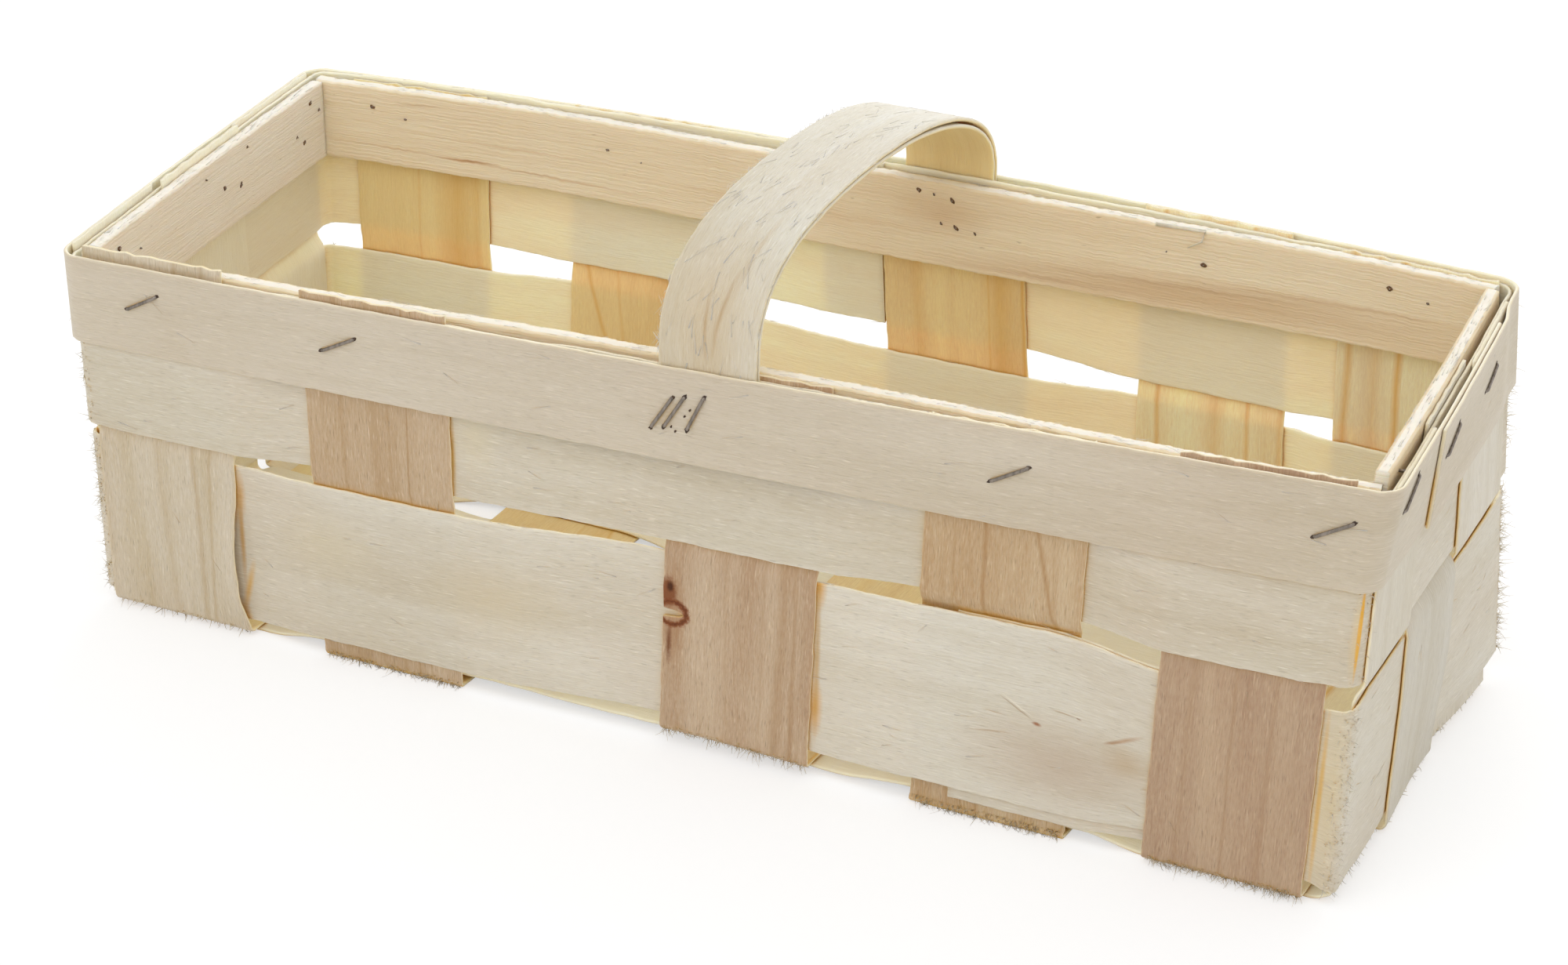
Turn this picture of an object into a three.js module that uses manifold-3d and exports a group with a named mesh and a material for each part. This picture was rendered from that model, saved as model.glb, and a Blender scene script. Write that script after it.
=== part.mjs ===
// A chip-wood fruit basket: peeled veneer strips woven into a box, a stapled rim and an arched handle.
// Millimetres, +Z up, the long way along X, the front at -Y, the origin on the ground under the middle.
import * as THREE from 'three';
import { mergeVertices } from 'three/addons/utils/BufferGeometryUtils.js';
import Module from 'manifold-3d';

const wasm = await Module();
wasm.setup();

// Size of the box
const rimLength = 400;
const rimWidth = 141;
const rimHeight = 123;
const cornerRadius = 6.5;
const footRadius = 3.5;
const taperLength = -1.2;
const taperWidth = -0.7;

// Thickness of the wood, and the air left between strips that lie on each other
const veneer = 1.0;
const bandThickness = 1.1;
const plyThickness = 1.2;
const slatThickness = 4.0;
const clearance = 0.3;

// Rim band outside and rim slats inside
const bandHeight = 29;
const bandLapStart = 23;
const bandLapLength = 70;
const lapRamp = 14;
const lapLanding = 1.5;
const slatHeight = 26;
const slatDrop = { front: [1.6, 0.5], back: [0.5, 0.5], left: [0.5, 0.5], right: [0.5, -1.6] };

// Weaving strips that run round the box
const lowerWeaverFoot = 5.5;
const lowerWeaverHeight = 55.5;
const weaverGap = 4.6;
const weaverHold = 1.2;
const upperWeaverDrop = 1.6;
const lowerLapStart = 28.5;
const lowerLapLength = 83;
const upperLapStart = 20;
const upperLapLength = 17;

// Staves that run under the box and up its walls
const crossStaveWidth = 46.5;
const crossStaveMargin = 0.6;
const longStaveGap = 1.4;
const hangRun = 12;
const hangFade = 10;
const hangTop = 50;

// Handle
const handleWidth = 29;
const handleFrontX = 7.1;
const handleBackX = 19.8;
const handleRise = 40;
const handleSpringing = 3;
const handleCrownShift = -6;
const handleFullness = { front: 0.66, back: 0.56 };
const handlePlyParting = 1.2;
const handleFootCover = 2;

// How far to either side of a leg the weave and the slats give way to it, and how they come back
const pushMargin = 17;
const pushFade = 30;
const slatFade = 115;

// Staples
const stapleCrown = 12.7;
const stapleWire = 0.9;
const stapleBend = 0.7;
const stapleTip = 0.5;
const stapleBendSteps = 2;

// Staples on each wall: the stave or leg that each holds, how far aside of its middle as a share of
// its width, how far below the rim as a share of the band's height, and the turn of its crown in degrees
const atHandle = -1;
const stapleRows = {
  front: [
    { on: 0, aside: -0.05, drop: 0.39, turn: 30 },
    { on: 1, aside: -0.22, drop: 0.43, turn: 28 },
    { on: atHandle, aside: -0.46, drop: 0.49, turn: 58 },
    { on: atHandle, aside: -0.33, drop: 0.46, turn: 59 },
    { on: atHandle, aside: -0.15, drop: 0.44, turn: 65 },
    { on: 3, aside: 0.01, drop: 0.46, turn: 29 },
    { on: 4, aside: 0.42, drop: 0.43, turn: 27 },
  ],
  right: [
    { on: 0, aside: -0.19, drop: 0.2, turn: 32 },
    { on: 1, aside: -0.28, drop: 0.27, turn: 24 },
    { on: 2, aside: -0.27, drop: 0.31, turn: 16 },
  ],
  back: [
    { on: 0, aside: -0.18, drop: 0.29, turn: -13 },
    { on: 1, aside: -0.06, drop: 0.35, turn: -11 },
    { on: atHandle, aside: -0.12, drop: 0.28, turn: -52 },
    { on: atHandle, aside: 0.05, drop: 0.3, turn: -52 },
    { on: atHandle, aside: 0.26, drop: 0.33, turn: -50 },
    { on: 3, aside: -0.17, drop: 0.33, turn: -10 },
    { on: 4, aside: -0.04, drop: 0.28, turn: -10 },
  ],
  left: [
    { on: 0, aside: -0.08, drop: 0.29, turn: -25 },
    { on: 1, aside: 0, drop: 0.3, turn: -37 },
    { on: 1, aside: 0.38, drop: 0.33, turn: 66 },
    { on: 2, aside: 0.16, drop: 0.31, turn: 44 },
    { on: 2, aside: 0.26, drop: 0.44, turn: 39 },
  ],
};

// Hand-made set of the box: how far each corner of the rim strays along X, Y and Z and each corner of
// the foot along X and Y, and how far walls bow
const rimStray = {
  frontLeft: [0.2, -5.5, 0],
  frontRight: [1.2, 6, 5.6],
  backRight: [-3, -1.5, 5.6],
  backLeft: [-1.8, 2.4, 0],
};
const footStray = { frontLeft: [-2.8, 3], frontRight: [-3, -2.5], backRight: [3.5, -1], backLeft: [0, 0] };
const bow = { front: 2, back: 9, left: 2.7, right: 0.8 };

// How far the front right corner falls back below the rim band, and the length over which that fades
const cornerFlare = 3;
const flareFade = 28;

// Middle of the weave, and the swing of each strip to either side of it
const crossing = veneer + clearance;
const weaverSwing = 0.65 * crossing;
const staveSwing = crossing - weaverSwing;
const weaveHalfLong = weaverSwing + veneer / 2;
const weaveHalfEnd = crossing + veneer / 2;
const weaveInsetLong = bandThickness + clearance + weaveHalfLong;
const weaveInsetEnd = bandThickness + clearance + weaveHalfEnd;
const slatInsetLong = weaveInsetLong + weaveHalfLong + clearance + slatThickness / 2;
const slatInsetEnd = weaveInsetEnd + weaveHalfEnd + clearance + slatThickness / 2;
const outerPlyInset = bandThickness + clearance + plyThickness / 2;
const innerPlyInset = outerPlyInset + plyThickness + clearance;
const handleStack = 2 * (plyThickness + clearance);
const floorMiddle = weaveHalfEnd;

const halfLength = rimLength / 2;
const halfWidth = rimWidth / 2;
const straightX = halfLength - cornerRadius;
const straightY = halfWidth - cornerRadius;
const cornerArc = (cornerRadius * Math.PI) / 2;
const perimeter = 4 * (straightX + straightY) + 4 * cornerArc;

const swingSteps = 4;
const cornerSteps = 5;
const foldSteps = 4;
const wallSteps = 2;
const longestStep = 24;
const shortestStep = 1;

const lerp = THREE.MathUtils.lerp;
const smooth = (t) => THREE.MathUtils.smoothstep(t, 0, 1);

// Weave: where each cross stave stands, as a share of the run from the first stave to the last, how far
// its ends stand above the rim, how much narrower than usual it is and how far its front fold hangs
const staveRun = [
  { front: -0.003, frontFoot: -0.003, backFoot: 0.026, back: 0.03, proud: [2.4, -0.8], narrower: 2.1, hang: 0 },
  { front: 0.213, frontFoot: 0.208, backFoot: 0.244, back: 0.256, proud: [0.4, 0.6], narrower: 0, hang: 1.3 },
  { front: 0.545, frontFoot: 0.538, backFoot: 0.57, back: 0.57, proud: [-1.2, -1.5], narrower: 0, hang: 0 },
  { front: 0.778, frontFoot: 0.768, backFoot: 0.808, back: 0.816, proud: [-0.9, 0.5], narrower: 0, hang: 1.2 },
  { front: 0.984, frontFoot: 0.983, backFoot: 0.99, back: 1.0, proud: [0.3, -0.6], narrower: -1.2, hang: 0 },
];

// Weave: how far each long stave stands above the rim at its left and right end, how far forward it
// has run at its right end, and how much narrower it is there
const longStaveSet = [
  { name: 'front_long_stave', proud: [0.5, -0.8], drift: 5.1, narrower: 4.7 },
  { name: 'middle_long_stave', proud: [1.5, -0.4], drift: 6.1, narrower: 0 },
  { name: 'back_long_stave', proud: [0.5, -0.8], drift: 7, narrower: 0 },
];

// Weave: how far the lower and upper edge of each weaving strip strays where it crosses each stave
const lowerStray = {
  front: [[0, -1], [-1.2, -0.9], [1.5, 2.3], [-0.5, 3.4], [0.3, -3.2]],
  back: [[0, 2], [-1, 3.1], [0.5, 1.3], [-0.5, 2.4], [0, 1.9]],
  left: [[-0.5, -0.5], [1.0, 0], [-0.5, 1]],
  right: [[-0.6, -0.9], [1, 0.1], [2.9, -1.4]],
  corner: { frontLeft: [-1.5, -1], frontRight: [-1.8, -3.2], backRight: [3, -0.9], backLeft: [-0.5, 1] },
};
const upperStray = {
  front: [[-1.2, 0], [-1.3, 0], [2.1, -0.4], [3.2, 0], [0, -0.4]],
  back: [[5.9, 2], [5.9, 2.4], [5.5, 1.8], [3.6, 1.2], [3.1, 0.6]],
  left: [[0.8, 0], [1.9, 0.4], [2.6, 0.8]],
  right: [[0, -0.6], [1, 0], [-0.6, -0.4]],
  corner: { frontLeft: [-0.5, 0], frontRight: [1, -0.6], backRight: [0.5, 0], backLeft: [3.5, 1] },
};

// Plan of the box: the outer face of the rim band, walked right wall, front, left wall, back
const walls = [
  { name: 'right', at: (d) => [halfLength, straightY - d], out: [1, 0], run: 2 * straightY, end: 1 },
  { name: 'front', at: (d) => [straightX - d, -halfWidth], out: [0, -1], run: 2 * straightX, end: 0 },
  { name: 'left', at: (d) => [-halfLength, d - straightY], out: [-1, 0], run: 2 * straightY, end: 1 },
  { name: 'back', at: (d) => [d - straightX, halfWidth], out: [0, 1], run: 2 * straightX, end: 0 },
];
let walked = 0;
for (const wall of walls) {
  wall.start = walked;
  walked += wall.run + cornerArc;
}

function plan(s) {
  const along = ((s % perimeter) + perimeter) % perimeter;
  const index = walls.findLastIndex((wall) => along >= wall.start);
  const wall = walls[index];
  const d = along - wall.start;
  if (d <= wall.run) {
    const [x, y] = wall.at(d);
    return { x, y, out: wall.out, end: wall.end };
  }
  const share = (d - wall.run) / cornerArc;
  const next = walls[(index + 1) % walls.length];
  const angle = (share * Math.PI) / 2;
  const out = [0, 1].map((i) => wall.out[i] * Math.cos(angle) + next.out[i] * Math.sin(angle));
  const last = wall.at(wall.run);
  const x = last[0] - wall.out[0] * cornerRadius + out[0] * cornerRadius;
  const y = last[1] - wall.out[1] * cornerRadius + out[1] * cornerRadius;
  return { x, y, out, end: lerp(wall.end, next.end, share) };
}

const onWall = {
  right: (y) => walls[0].start + straightY - y,
  front: (x) => walls[1].start + straightX - x,
  left: (y) => walls[2].start + y + straightY,
  back: (x) => walls[3].start + x + straightX,
};
const onCorner = {
  frontRight: walls[0].start + walls[0].run + cornerArc / 2,
  frontLeft: walls[1].start + walls[1].run + cornerArc / 2,
  backLeft: walls[2].start + walls[2].run + cornerArc / 2,
  backRight: walls[3].start + walls[3].run + cornerArc / 2,
};

// The box as it really stands: tapered, with strayed corners, bowed walls and a rim that is not level
function settle(x, y, z) {
  const t = THREE.MathUtils.clamp(z / rimHeight, 0, 1);
  const u = THREE.MathUtils.clamp(x / halfLength, -1, 1);
  const v = THREE.MathUtils.clamp(y / halfWidth, -1, 1);
  const share = {
    frontLeft: ((1 - u) * (1 - v)) / 4,
    frontRight: ((1 + u) * (1 - v)) / 4,
    backRight: ((1 + u) * (1 + v)) / 4,
    backLeft: ((1 - u) * (1 + v)) / 4,
  };
  let dx = -u * taperLength * (1 - t);
  let dy = -v * taperWidth * (1 - t);
  let dz = 0;
  for (const corner of Object.keys(share)) {
    dx += share[corner] * lerp(footStray[corner][0], rimStray[corner][0], t);
    dy += share[corner] * lerp(footStray[corner][1], rimStray[corner][1], t);
    dz += share[corner] * t * rimStray[corner][2];
  }
  dx += (t * (1 - v * v) * (bow.right * (1 + u) - bow.left * (1 - u))) / 2;
  dy += (t * (1 - u * u) * (bow.back * (1 + v) - bow.front * (1 - v))) / 2;
  const below = THREE.MathUtils.clamp((rimHeight - z) / bandHeight, 0, 1);
  dx -= cornerFlare * below * smooth((x - halfLength) / flareFade + 1) * (1 - v) / 2;
  return new THREE.Vector3(x + dx, y + dy, z + dz);
}

// The handle's legs push the weave and the slats of both long walls inwards at the rim
const pushFlat = handleWidth / 2 + pushMargin;
const bandFoot = rimHeight - bandHeight;
const lowerEdges = [lowerWeaverFoot, lowerWeaverFoot + lowerWeaverHeight];
const upperEdges = [lowerEdges[1] + weaverGap, rimHeight - upperWeaverDrop];
const handleX = (y) => lerp(handleFrontX, handleBackX, (y + halfWidth) / rimWidth);

function push(x, y, fade) {
  const away = Math.abs(x - handleX(Math.sign(y) * halfWidth));
  return handleStack * (1 - smooth((away - pushFlat) / fade));
}

const pushDepth = (z) => THREE.MathUtils.clamp((z - upperEdges[0]) / (bandFoot - upperEdges[0]), 0, 1);

// A point of the wall: s round the plan, z up, inset from the outer face of the rim band
function wallPoint(s, z, inset, fade = 0) {
  const { x, y, out, end } = plan(s);
  const pushed = fade ? push(x, y, fade) * pushDepth(z) * (1 - end) : 0;
  const depth = inset + pushed;
  return settle(x - out[0] * depth, y - out[1] * depth, z);
}

// A value held at each knot and eased from knot to knot; knots are {at, half, value} in order
function eased(knots, key) {
  return (at) => {
    const next = knots.findIndex((knot) => at <= knot.at + knot.half);
    if (next <= 0) {
      return knots[next < 0 ? knots.length - 1 : 0][key];
    }
    const a = knots[next - 1];
    const b = knots[next];
    const from = a.at + a.half;
    const to = b.at - b.half;
    return at >= to ? b[key] : lerp(a[key], b[key], smooth((at - from) / (to - from)));
  };
}

// Stations from one place to another: every knot's two ends, fine steps where a strip turns, and
// nowhere further apart than the longest step
function stations(from, to, knots, bends, longest = Infinity) {
  const marks = [from, to];
  for (const knot of knots) {
    marks.push(knot.at - knot.half, knot.at + knot.half);
  }
  for (let i = 1; i < knots.length; i += 1) {
    const a = knots[i - 1].at + knots[i - 1].half;
    const b = knots[i].at - knots[i].half;
    const steps = knots[i - 1].swing === knots[i].swing ? 1 : swingSteps;
    for (let k = 1; k < steps; k += 1) {
      marks.push(lerp(a, b, k / steps));
    }
  }
  for (const [a, b, steps] of bends) {
    for (let k = 0; k <= steps; k += 1) {
      marks.push(lerp(a, b, k / steps));
    }
  }
  const inside = marks.filter((m) => m >= from && m <= to).sort((a, b) => a - b);
  const kept = [from];
  for (const mark of inside) {
    const last = kept[kept.length - 1];
    const steps = Math.ceil((mark - last) / longest);
    for (let k = 1; k < steps; k += 1) {
      kept.push(lerp(last, mark, k / steps));
    }
    if (mark - last > shortestStep && to - mark > shortestStep) {
      kept.push(mark);
    }
  }
  kept.push(to);
  return kept;
}

// A closed strip through sections: each goes up the outer face of the strip and down its inner face.
// Both faces are split along the same diagonal, so that a twisted strip keeps its thickness
function strip(sections) {
  const round = sections[0].length;
  const rows = round / 2;
  const positions = sections.flat().flatMap((p) => [p.x, p.y, p.z]);
  const index = [];
  for (let i = 0; i + 1 < sections.length; i += 1) {
    for (let k = 0; k < round; k += 1) {
      const a = round * i + k;
      const b = round * i + ((k + 1) % round);
      const [c, d] = [b + round, a + round];
      index.push(...(k < rows ? [a, b, c, a, c, d] : [a, b, d, b, c, d]));
    }
  }
  const last = round * (sections.length - 1);
  for (let row = 0; row + 1 < rows; row += 1) {
    const [a, b, c, d] = [row, row + 1, round - 2 - row, round - 1 - row];
    index.push(a, c, b, a, d, c, last + a, last + b, last + c, last + a, last + c, last + d);
  }
  const geometry = new THREE.BufferGeometry();
  geometry.setAttribute('position', new THREE.Float32BufferAttribute(positions, 3));
  geometry.setIndex(index);
  return facingOut(geometry);
}

function facingOut(geometry) {
  const p = geometry.getAttribute('position');
  const corner = [0, 1, 2].map(() => new THREE.Vector3());
  const index = geometry.index.array;
  let volume = 0;
  for (let i = 0; i < index.length; i += 3) {
    corner.forEach((v, k) => v.fromBufferAttribute(p, index[i + k]));
    volume += corner[0].dot(corner[1].clone().cross(corner[2]));
  }
  if (volume < 0) {
    geometry.setIndex(Array.from(index).reverse());
  }
  return geometry;
}

// Boolean cuts
function toSolid(geometry) {
  const bare = mergeVertices(geometry, 1e-4);
  return new wasm.Manifold(new wasm.Mesh({
    numProp: 3,
    vertProperties: new Float32Array(bare.getAttribute('position').array),
    triVerts: new Uint32Array(bare.index.array),
  }));
}

function fromSolid(solid) {
  const mesh = solid.getMesh();
  const geometry = new THREE.BufferGeometry();
  geometry.setAttribute('position', new THREE.BufferAttribute(mesh.vertProperties.slice(), 3));
  geometry.setIndex(new THREE.BufferAttribute(mesh.triVerts.slice(), 1));
  return geometry;
}

// Cross staves: centre of each along X at the front rim, front foot, back foot and back rim
const staveReach = straightX - crossStaveMargin - crossStaveWidth / 2;
const crossStaves = staveRun.map((run, i) => ({
  name: `cross_stave_${i + 1}`,
  outsideLower: i % 2 === 0,
  x: Object.fromEntries(
    ['front', 'frontFoot', 'backFoot', 'back'].map((key) => [key, lerp(-staveReach, staveReach, run[key])]),
  ),
  proud: run.proud,
  hang: run.hang,
  width: crossStaveWidth - run.narrower,
}));

// Long staves: three share the width between the feet of the long walls
const feetApart = 2 * (halfWidth - weaveInsetLong - footRadius);
const longStaveWidth = (feetApart - 2 * longStaveGap) / 3;
const longPitch = longStaveWidth + longStaveGap;
const longStaves = longStaveSet.map((set, i) => ({
  ...set,
  outsideLower: i === 1,
  y: (i - 1) * longPitch,
  width: longStaveWidth,
}));

const endY = (stave, side) => stave.y - (side === 'right' ? stave.drift : 0);

const crossX = (stave, side, z) => {
  const [rim, foot] = side === 'front' ? ['front', 'frontFoot'] : ['back', 'backFoot'];
  return lerp(stave.x[foot], stave.x[rim], z / rimHeight);
};

// The course of a weaving strip round the box: how far it swings out and where its edges run
const turns = (list) => [-1, 0, 1, 2].flatMap((turn) => list.map((item) => item(turn * perimeter)));
const inOrder = (knots) => turns(knots.map((knot) => (by) => ({ ...knot, at: knot.at + by })))
  .sort((a, b) => a.at - b.at);
const cornerBends = turns(walls.map((wall) => (by) => {
  const from = wall.start + wall.run + by;
  return [from, from + cornerArc, cornerSteps];
}));

function course(edges, stray, outsideSign) {
  const middle = (edges[0] + edges[1]) / 2;
  const height = ([low, high]) => ({ low: edges[0] + low, high: edges[1] + high });
  const knots = [];
  for (const side of ['front', 'back']) {
    crossStaves.forEach((stave, i) => knots.push({
      at: onWall[side](crossX(stave, side, middle)),
      half: stave.width / 2 + weaverHold,
      swing: (stave.outsideLower ? -outsideSign : outsideSign) * weaverSwing,
      ...height(stray[side][i]),
    }));
  }
  for (const side of ['left', 'right']) {
    longStaves.forEach((stave, i) => knots.push({
      at: onWall[side](endY(stave, side)),
      half: stave.width / 2 - weaverHold,
      swing: 0,
      ...height(stray[side][i]),
    }));
  }
  const corners = Object.keys(stray.corner).map((corner) => ({
    at: onCorner[corner],
    half: cornerArc / 2,
    ...height(stray.corner[corner]),
  }));
  const swings = inOrder(knots);
  const heights = inOrder([...knots, ...corners]);
  return { swings, swing: eased(swings, 'swing'), low: eased(heights, 'low'), high: eased(heights, 'high') };
}

const lowerCourse = course(lowerEdges, lowerStray, 1);
const upperCourse = course(upperEdges, upperStray, -1);

// A weaving strip: one turn round the box and a lap, whose last stretch steps inside of the first
function weaver(along, from, lap, creases) {
  const meet = from + perimeter;
  const to = meet + lap;
  const ramp = [meet - lapRamp, meet - lapLanding, swingSteps];
  const at = stations(from, to, along.swings, [...cornerBends, ramp], longestStep);
  return strip(at.map((s) => {
    const stepped = crossing * smooth((s - ramp[0]) / (ramp[1] - ramp[0]));
    const inset = lerp(weaveInsetLong, weaveInsetEnd, plan(s).end) - along.swing(s) + stepped;
    const rows = [along.low(s), ...creases, along.high(s)];
    return [
      ...rows.map((z) => wallPoint(s, z, inset - veneer / 2, pushFade)),
      ...rows.reverse().map((z) => wallPoint(s, z, inset + veneer / 2, pushFade)),
    ];
  }));
}

// The height left free between the two weaving strips where a stave passes from one to the other
function freeHeight(wall, from, to) {
  const places = [0, 0.25, 0.5, 0.75, 1].map((share) => onWall[wall](lerp(from, to, share)));
  const lower = Math.max(...places.map(lowerCourse.high));
  const upper = Math.min(...places.map(upperCourse.low));
  return { lower: lower - clearance / 2, upper: upper + clearance / 2 };
}

// The fold of a stave: d runs from the middle of the floor, up one wall at each end of it
function fold(reach, d) {
  const flat = reach - footRadius;
  const side = Math.sign(d) || 1;
  const far = Math.abs(d) - flat;
  const arc = (footRadius * Math.PI) / 2;
  if (far <= 0) {
    return { a: d, z: floorMiddle, na: 0, nz: -1, up: 0 };
  }
  if (far >= arc) {
    return { a: side * reach, z: floorMiddle + footRadius + far - arc, na: side, nz: 0, up: 1 };
  }
  const angle = far / footRadius;
  const na = side * Math.sin(angle);
  const nz = -Math.cos(angle);
  return { a: side * flat + footRadius * na, z: floorMiddle + footRadius * (1 + nz), na, nz, up: far / arc };
}

function foldAt(reach, side, z) {
  return side * (reach - footRadius + (footRadius * Math.PI) / 2 + z - floorMiddle - footRadius);
}

// Where a stave needs stations of its own: in its folds, and at heights where the walls change
function staveBends(reach) {
  const flat = reach - footRadius;
  const arc = (footRadius * Math.PI) / 2;
  const bends = [[-flat - arc, -flat, foldSteps], [flat, flat + arc, foldSteps]];
  for (const side of [-1, 1]) {
    const height = (z) => foldAt(reach, side, z);
    bends.push([height(lowerEdges[0]), height(lowerEdges[1]), wallSteps]);
    bends.push([height(upperEdges[0]), height(bandFoot), 1], [height(bandFoot), height(rimHeight), 2]);
  }
  return bends;
}

const knotBetween = (a, b, swing) => ({ at: (a + b) / 2, half: Math.abs(b - a) / 2, swing });

// Knots of a stave on one wall: held against the lower weaver and against the upper weaver
function wallKnots(reach, side, free, lowerSwing, upperSwing) {
  const foot = foldAt(reach, side, floorMiddle + footRadius + clearance);
  const top = foldAt(reach, side, rimHeight);
  return [
    knotBetween(foot, foldAt(reach, side, free.lower), lowerSwing),
    knotBetween(foldAt(reach, side, free.upper), top, upperSwing),
  ];
}

const lapFrom = straightX - lowerLapStart;
const crossReach = halfWidth - weaveInsetLong;
const longReach = halfLength - weaveInsetEnd;

// How much of its hang a stave shows: all of it round its front fold, none further in or higher up
function hanging(at) {
  const along = smooth((hangFade + hangRun - crossReach - at.a) / hangFade);
  const up = 1 - smooth((at.z - lowerEdges[0]) / (hangTop - lowerEdges[0]));
  return along * up;
}

function crossStave(stave) {
  const sign = stave.outsideLower ? 1 : -1;
  const knots = [knotBetween(-crossReach + footRadius, crossReach - footRadius, 0)];
  for (const [side, name] of [[-1, 'front'], [1, 'back']]) {
    const left = crossX(stave, name, lowerEdges[1]) - stave.width / 2;
    const right = left + stave.width;
    const lapped = name === 'front' && left < lapFrom && right > lapFrom - lowerLapLength;
    const lowerSwing = sign * staveSwing - (lapped && !stave.outsideLower ? crossing : 0);
    const free = freeHeight(name, left, right);
    knots.push(...wallKnots(crossReach, side, free, lowerSwing, -sign * staveSwing));
  }
  knots.sort((a, b) => a.at - b.at);
  const swing = eased(knots, 'swing');
  const from = foldAt(crossReach, -1, rimHeight + stave.proud[0]);
  const to = foldAt(crossReach, 1, rimHeight + stave.proud[1]);
  const bends = staveBends(crossReach);
  if (stave.hang > 0) {
    bends.push([-crossReach + hangRun, -crossReach + hangRun + hangFade, 2]);
  }
  return strip(stations(from, to, knots, bends).map((d) => {
    const at = fold(crossReach, d);
    const across = (at.a + crossReach) / (2 * crossReach);
    const foot = lerp(stave.x.frontFoot, stave.x.backFoot, across);
    const x = lerp(foot, crossX(stave, d < 0 ? 'front' : 'back', at.z), at.up);
    const corner = (edge, face) => {
      const n = swing(d) + (face * veneer) / 2;
      const pushed = push(x + edge, d, pushFade) * pushDepth(at.z);
      return settle(x + edge, at.a + at.na * (n - pushed), at.z + at.nz * n - stave.hang * hanging(at));
    };
    const half = stave.width / 2;
    return [corner(-half, 1), corner(half, 1), corner(half, -1), corner(-half, -1)];
  }));
}

function longStave(stave) {
  const sign = stave.outsideLower ? 1 : -1;
  const knots = crossStaves.map((cross) => {
    const across = (stave.y + crossReach) / (2 * crossReach);
    const x = lerp(cross.x.frontFoot, cross.x.backFoot, across);
    const lean = (Math.abs(cross.x.backFoot - cross.x.frontFoot) * stave.width) / (4 * crossReach);
    const half = cross.width / 2 + weaverHold + lean;
    const inner = longReach - footRadius;
    const from = Math.max(x - half, -inner);
    const to = Math.min(x + half, inner);
    return knotBetween(from, to, cross.outsideLower ? -sign * crossing : sign * crossing);
  });
  for (const [side, name] of [[-1, 'left'], [1, 'right']]) {
    const middle = endY(stave, name);
    const free = freeHeight(name, middle - stave.width / 2, middle + stave.width / 2);
    knots.push(...wallKnots(longReach, side, free, sign * crossing, -sign * crossing));
  }
  knots.sort((a, b) => a.at - b.at);
  const swing = eased(knots, 'swing');
  const from = foldAt(longReach, -1, rimHeight + stave.proud[0]);
  const to = foldAt(longReach, 1, rimHeight + stave.proud[1]);
  return strip(stations(from, to, knots, staveBends(longReach)).map((d) => {
    const at = fold(longReach, d);
    const run = (at.a + longReach) / (2 * longReach);
    const back = stave.y + stave.width / 2 - stave.drift * run;
    const front = back - stave.width + stave.narrower * run;
    const corner = (y, face) => {
      const n = swing(d) + (face * veneer) / 2;
      return settle(at.a + at.na * n, y, at.z + at.nz * n);
    };
    return [corner(back, 1), corner(front, 1), corner(front, -1), corner(back, -1)];
  }));
}

// Rim band: starts on the right wall, runs round and laps over its own start
function rimBand() {
  const from = onWall.right(straightY - bandLapStart);
  const meet = from + perimeter;
  const to = meet + bandLapLength;
  const step = bandThickness + clearance;
  const ramp = [meet - lapRamp, meet - lapLanding, swingSteps];
  return strip(stations(from, to, [], [...cornerBends, ramp], longestStep).map((s) => {
    const stepped = step * smooth((s - ramp[0]) / (ramp[1] - ramp[0]));
    const face = -stepped;
    return [
      wallPoint(s, rimHeight - bandHeight, face),
      wallPoint(s, rimHeight, face),
      wallPoint(s, rimHeight, face + bandThickness),
      wallPoint(s, rimHeight - bandHeight, face + bandThickness),
    ];
  }));
}

// Rim slats: thick strips inside the weave, long ones from end to end, short ones between them
function rimSlat(wall, half, inset, fade, drop) {
  const from = Math.min(onWall[wall](-half), onWall[wall](half));
  const at = stations(from, from + 2 * half, [], [], longestStep);
  return strip(at.map((s) => {
    const top = rimHeight - lerp(drop[0], drop[1], (s - from) / (2 * half));
    return [
      wallPoint(s, top - slatHeight, inset - slatThickness / 2, fade),
      wallPoint(s, top, inset - slatThickness / 2, fade),
      wallPoint(s, top, inset + slatThickness / 2, fade),
      wallPoint(s, top - slatHeight, inset + slatThickness / 2, fade),
    ];
  }));
}

// Handle: one arch, as a front leg, two curves that meet at the crown, and a back leg
const legFoot = rimHeight - bandHeight + handleFootCover;
const legTop = rimHeight + handleSpringing;

function handleArch(inset, crownDrop) {
  const front = -halfWidth + inset;
  const back = halfWidth - inset;
  const crown = rimHeight + handleRise - crownDrop;
  const rise = crown - legTop;
  const point = (y, z) => new THREE.Vector2(y, z);
  const path = new THREE.CurvePath();
  path.add(new THREE.LineCurve(point(front, legFoot), point(front, legTop)));
  path.add(new THREE.CubicBezierCurve(
    point(front, legTop),
    point(front, legTop + handleFullness.front * rise),
    point(handleCrownShift - handleFullness.front * (handleCrownShift - front), crown),
    point(handleCrownShift, crown),
  ));
  path.add(new THREE.CubicBezierCurve(
    point(handleCrownShift, crown),
    point(handleCrownShift + handleFullness.back * (back - handleCrownShift), crown),
    point(back, legTop + handleFullness.back * rise),
    point(back, legTop),
  ));
  path.add(new THREE.LineCurve(point(back, legTop), point(back, legFoot)));
  return path;
}

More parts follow.
